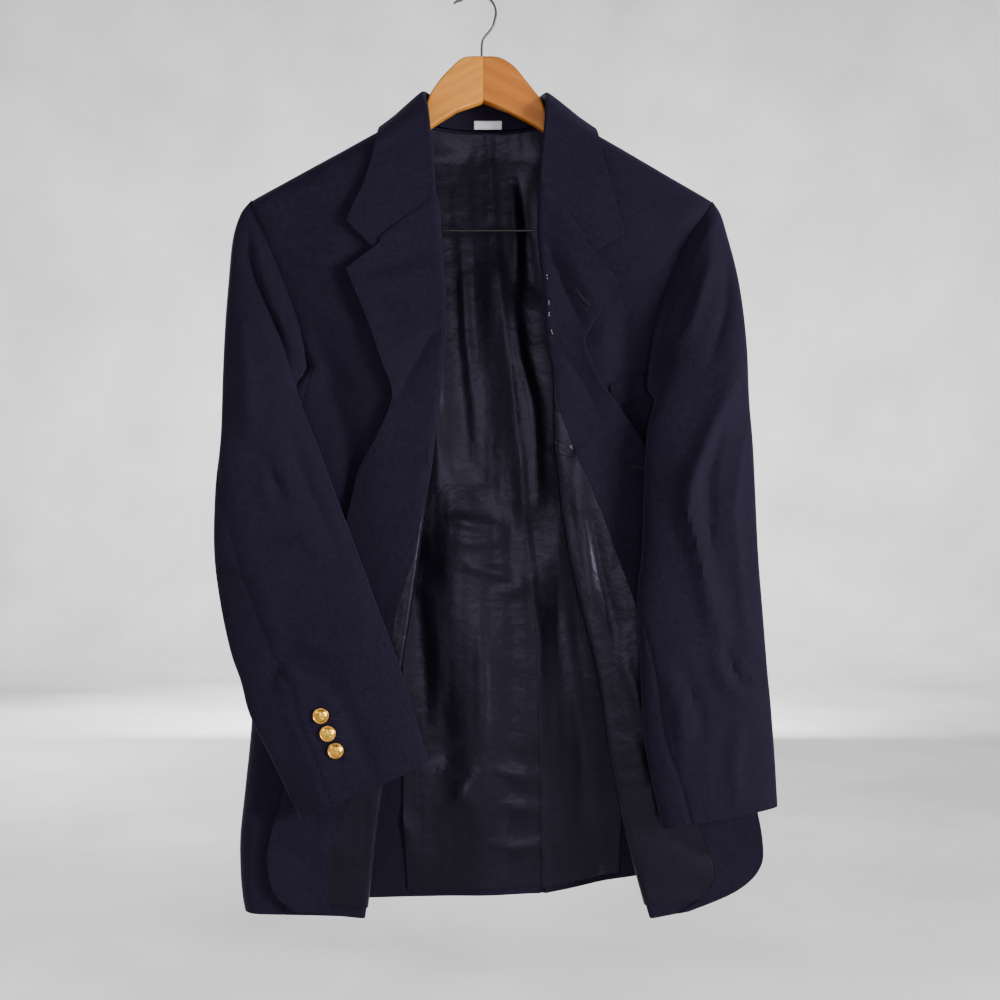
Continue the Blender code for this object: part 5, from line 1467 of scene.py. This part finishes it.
EDGE_STITCH_IN, FELL_STITCH_IN = 5.0, 1.2
FACE_OUT = (WOOL + FACING) / 2 + LAYER_GAP + FACING / 2 - 0.25
SATIN_OUT = (WOOL + SATIN) / 2 + LAYER_GAP + SATIN / 2 + 0.05
for side in (RIGHT, LEFT):
    def edge_turn(places, side=side):
        return 3.0 - side.turn_share(side.front_point, places, np.full(places.shape, 2.98), EDGE_STITCH_IN)

    def fell_turn(places, side=side):
        seam = side.row(places)["seam"]
        return seam - side.turn_share(side.front_point, places, seam, FELL_STITCH_IN)

    edge_line = flap_line(side, GORGE_ROW + 0.1, LAST_ROW - 0.15, edge_turn, FACE_OUT)
    fell_line = flap_line(side, LINING_ROW + 0.2, LAST_ROW - 0.8, fell_turn, SATIN_OUT)
    sew("edge_stitches_" + side.name, [edge_line], 5.0, 1.3, 0.22, navy_thread)
    sew("fell_stitches_" + side.name, [fell_line], 4.0, 1.2, 0.2, black_thread)

# %% Buttonholes, the label's stitches and a few basting stitches left in
HALF_BUTTONHOLE = 0.7
ACROSS = math.radians(90)


def on_flap(side, x, z, distance):
    """The point of the flap's face nearest to (x, z)."""
    places, turns = np.meshgrid(np.linspace(GORGE_ROW, LAST_ROW, 320), np.linspace(2.0, 3.0, 120),
                                indexing="ij")
    points = side.front_point(places, turns)
    best = np.unravel_index(np.argmin(np.hypot(points[..., 0] - x, points[..., 2] - z)), places.shape)
    return side.inner(side.front_point, places[best], turns[best], distance)


def sew_buttonhole(name, start, end):
    """Two lines of close stitches across the cut, in the left flap."""
    start, end = np.array(start), np.array(end)
    run = (end - start) / np.hypot(*(end - start))
    across = np.array((-run[1], run[0])) * HALF_BUTTONHOLE
    lines = [[on_flap(LEFT, *(mix(start, end, share) + across * way), FACE_OUT + 0.2)
              for share in np.linspace(0, 1, 9)] for way in (-1, 1)]
    sew(name, lines, 0.55, 1.4, 0.3, navy_thread, ACROSS)


sew_buttonhole("lapel_buttonhole", (102.0, -308.0), (116.0, -325.0))
sew_buttonhole("front_buttonhole", (158.0, -489.0), (173.0, -489.5))
basting = [[on_flap(LEFT, x + dx, z + dz, FACE_OUT + 0.3) for dx, dz in ((0, 1.6), (0.4, -1.6))]
           for x, z in ((70, -297), (73, -322), (74, -333), (77, -352))]
sew("basting_stitches", basting, 4.0, 1.7, 0.22, white_thread)
label_edge = [[(x, LABEL_Y - 0.45, z) for x in np.linspace(LABEL_X[0] + 0.7, LABEL_X[1] - 0.7, 24)]
              for z in (LABEL_Z[0] - 0.7, LABEL_Z[1] + 0.7)]
sew("label_stitches", label_edge, 1.6, 0.9, 0.14, black_thread)

# %% Sham buttonholes on the cuffs
SHAM_ENDS = {"right": ((8.25, -1.8), (17.6, -4.0)), "left": ((-8.25, 0.4), (-17.6, 1.0))}


def sham_buttonhole(side, spot):
    """A short line on the sleeve's wall that starts beside the button."""
    line = []
    for run, drop in SHAM_ENDS[side.name]:
        centre, normal = sleeve_frame(side, (spot[0] + run, spot[1] + drop), side is RIGHT)
        line.append(centre + normal * (WOOL / 2 + 0.15))
    return line


for side in (RIGHT, LEFT):
    holes = [sham_buttonhole(side, spot) for spot in BUTTONS[side.name]]
    sew("sham_buttonholes_" + side.name, holes, 0.6, 1.8, 0.3, navy_thread, ACROSS)

# %% [markdown]
# ## Floor, backdrop and light
# Dark cloth needs broad soft light, or its folds vanish. A soft panel from the right gives the
# folds their shade and a weaker one from the left keeps the shadows open. A third one stands
# behind the camera at chest height, so that the satin shines back most in the middle. Behind the
# jacket one panel lights its back and another brightens the wall.

# %% Stage
def make_stage():
    # a round floor that sweeps up into a wall, the same from every side
    floor_reach, sweep, wall_top, floor_z = 2.8, 0.8, 3.2, -1.05
    run = [(0.0, floor_z), (0.9, floor_z), (1.8, floor_z), (floor_reach, floor_z)]
    run += [(floor_reach + sweep * math.sin(a), floor_z + sweep * (1 - math.cos(a)))
            for a in np.linspace(0.1, math.pi / 2, 12)]
    run += [(floor_reach + sweep, wall_top)]
    steps = 96
    stage = bmesh.new()
    turns = [2 * math.pi * k / steps for k in range(steps)]
    rings = [[stage.verts.new((r * math.cos(turn), r * math.sin(turn), z))
              for turn in (turns if r else turns[:1])] for r, z in run]
    for inner, outer in zip(rings, rings[1:]):
        for k in range(steps):
            corners = [inner[k % len(inner)], outer[k], outer[(k + 1) % steps], inner[(k + 1) % len(inner)]]
            stage.faces.new(list(dict.fromkeys(corners))).smooth = True
    bmesh.ops.recalc_face_normals(stage, faces=stage.faces)
    pale = make_plain("pale_floor", (0.80, 0.79, 0.79), 0.9, 0.0, 3.0, 0.001)
    as_piece(stage, "studio_floor", pale)


def make_light(name, place, aim, size, power, colour):
    data = bpy.data.lights.new(name, "AREA")
    data.shape = "RECTANGLE"
    data.size, data.size_y = size
    data.energy = power
    data.color = colour
    light = bpy.data.objects.new(name, data)
    light.location = place
    light.rotation_mode = "QUATERNION"
    light.rotation_quaternion = (Vector(aim) - Vector(place)).to_track_quat("-Z", "Y")
    bpy.context.scene.collection.objects.link(light)


make_stage()
middle = (0.02, 0.0, -0.5)
make_light("key_panel", (1.75, -1.2, -0.35), middle, (0.6, 0.7), 84.0, (1.0, 0.98, 0.99))
make_light("front_panel", (0.15, -2.4, -0.40), middle, (0.7, 0.6), 15.0, (1.0, 0.98, 1.0))
make_light("left_panel", (-1.7, -1.2, 0.2), middle, (0.7, 0.8), 14.0, (0.97, 0.98, 1.0))
make_light("back_panel", (-1.3, 1.9, 0.3), middle, (0.9, 0.9), 60.0, (1.0, 0.99, 1.0))
make_light("wall_panel", (0.0, 1.7, -0.3), (0.0, 3.6, -0.3), (1.6, 1.2), 60.0, (1.0, 1.0, 1.0))
world = bpy.data.worlds.new("studio")
bpy.context.scene.world = world
world.use_nodes = True
world.node_tree.nodes["Background"].inputs["Color"].default_value = (0.78, 0.8, 0.84, 1.0)
world.node_tree.nodes["Background"].inputs["Strength"].default_value = 0.35
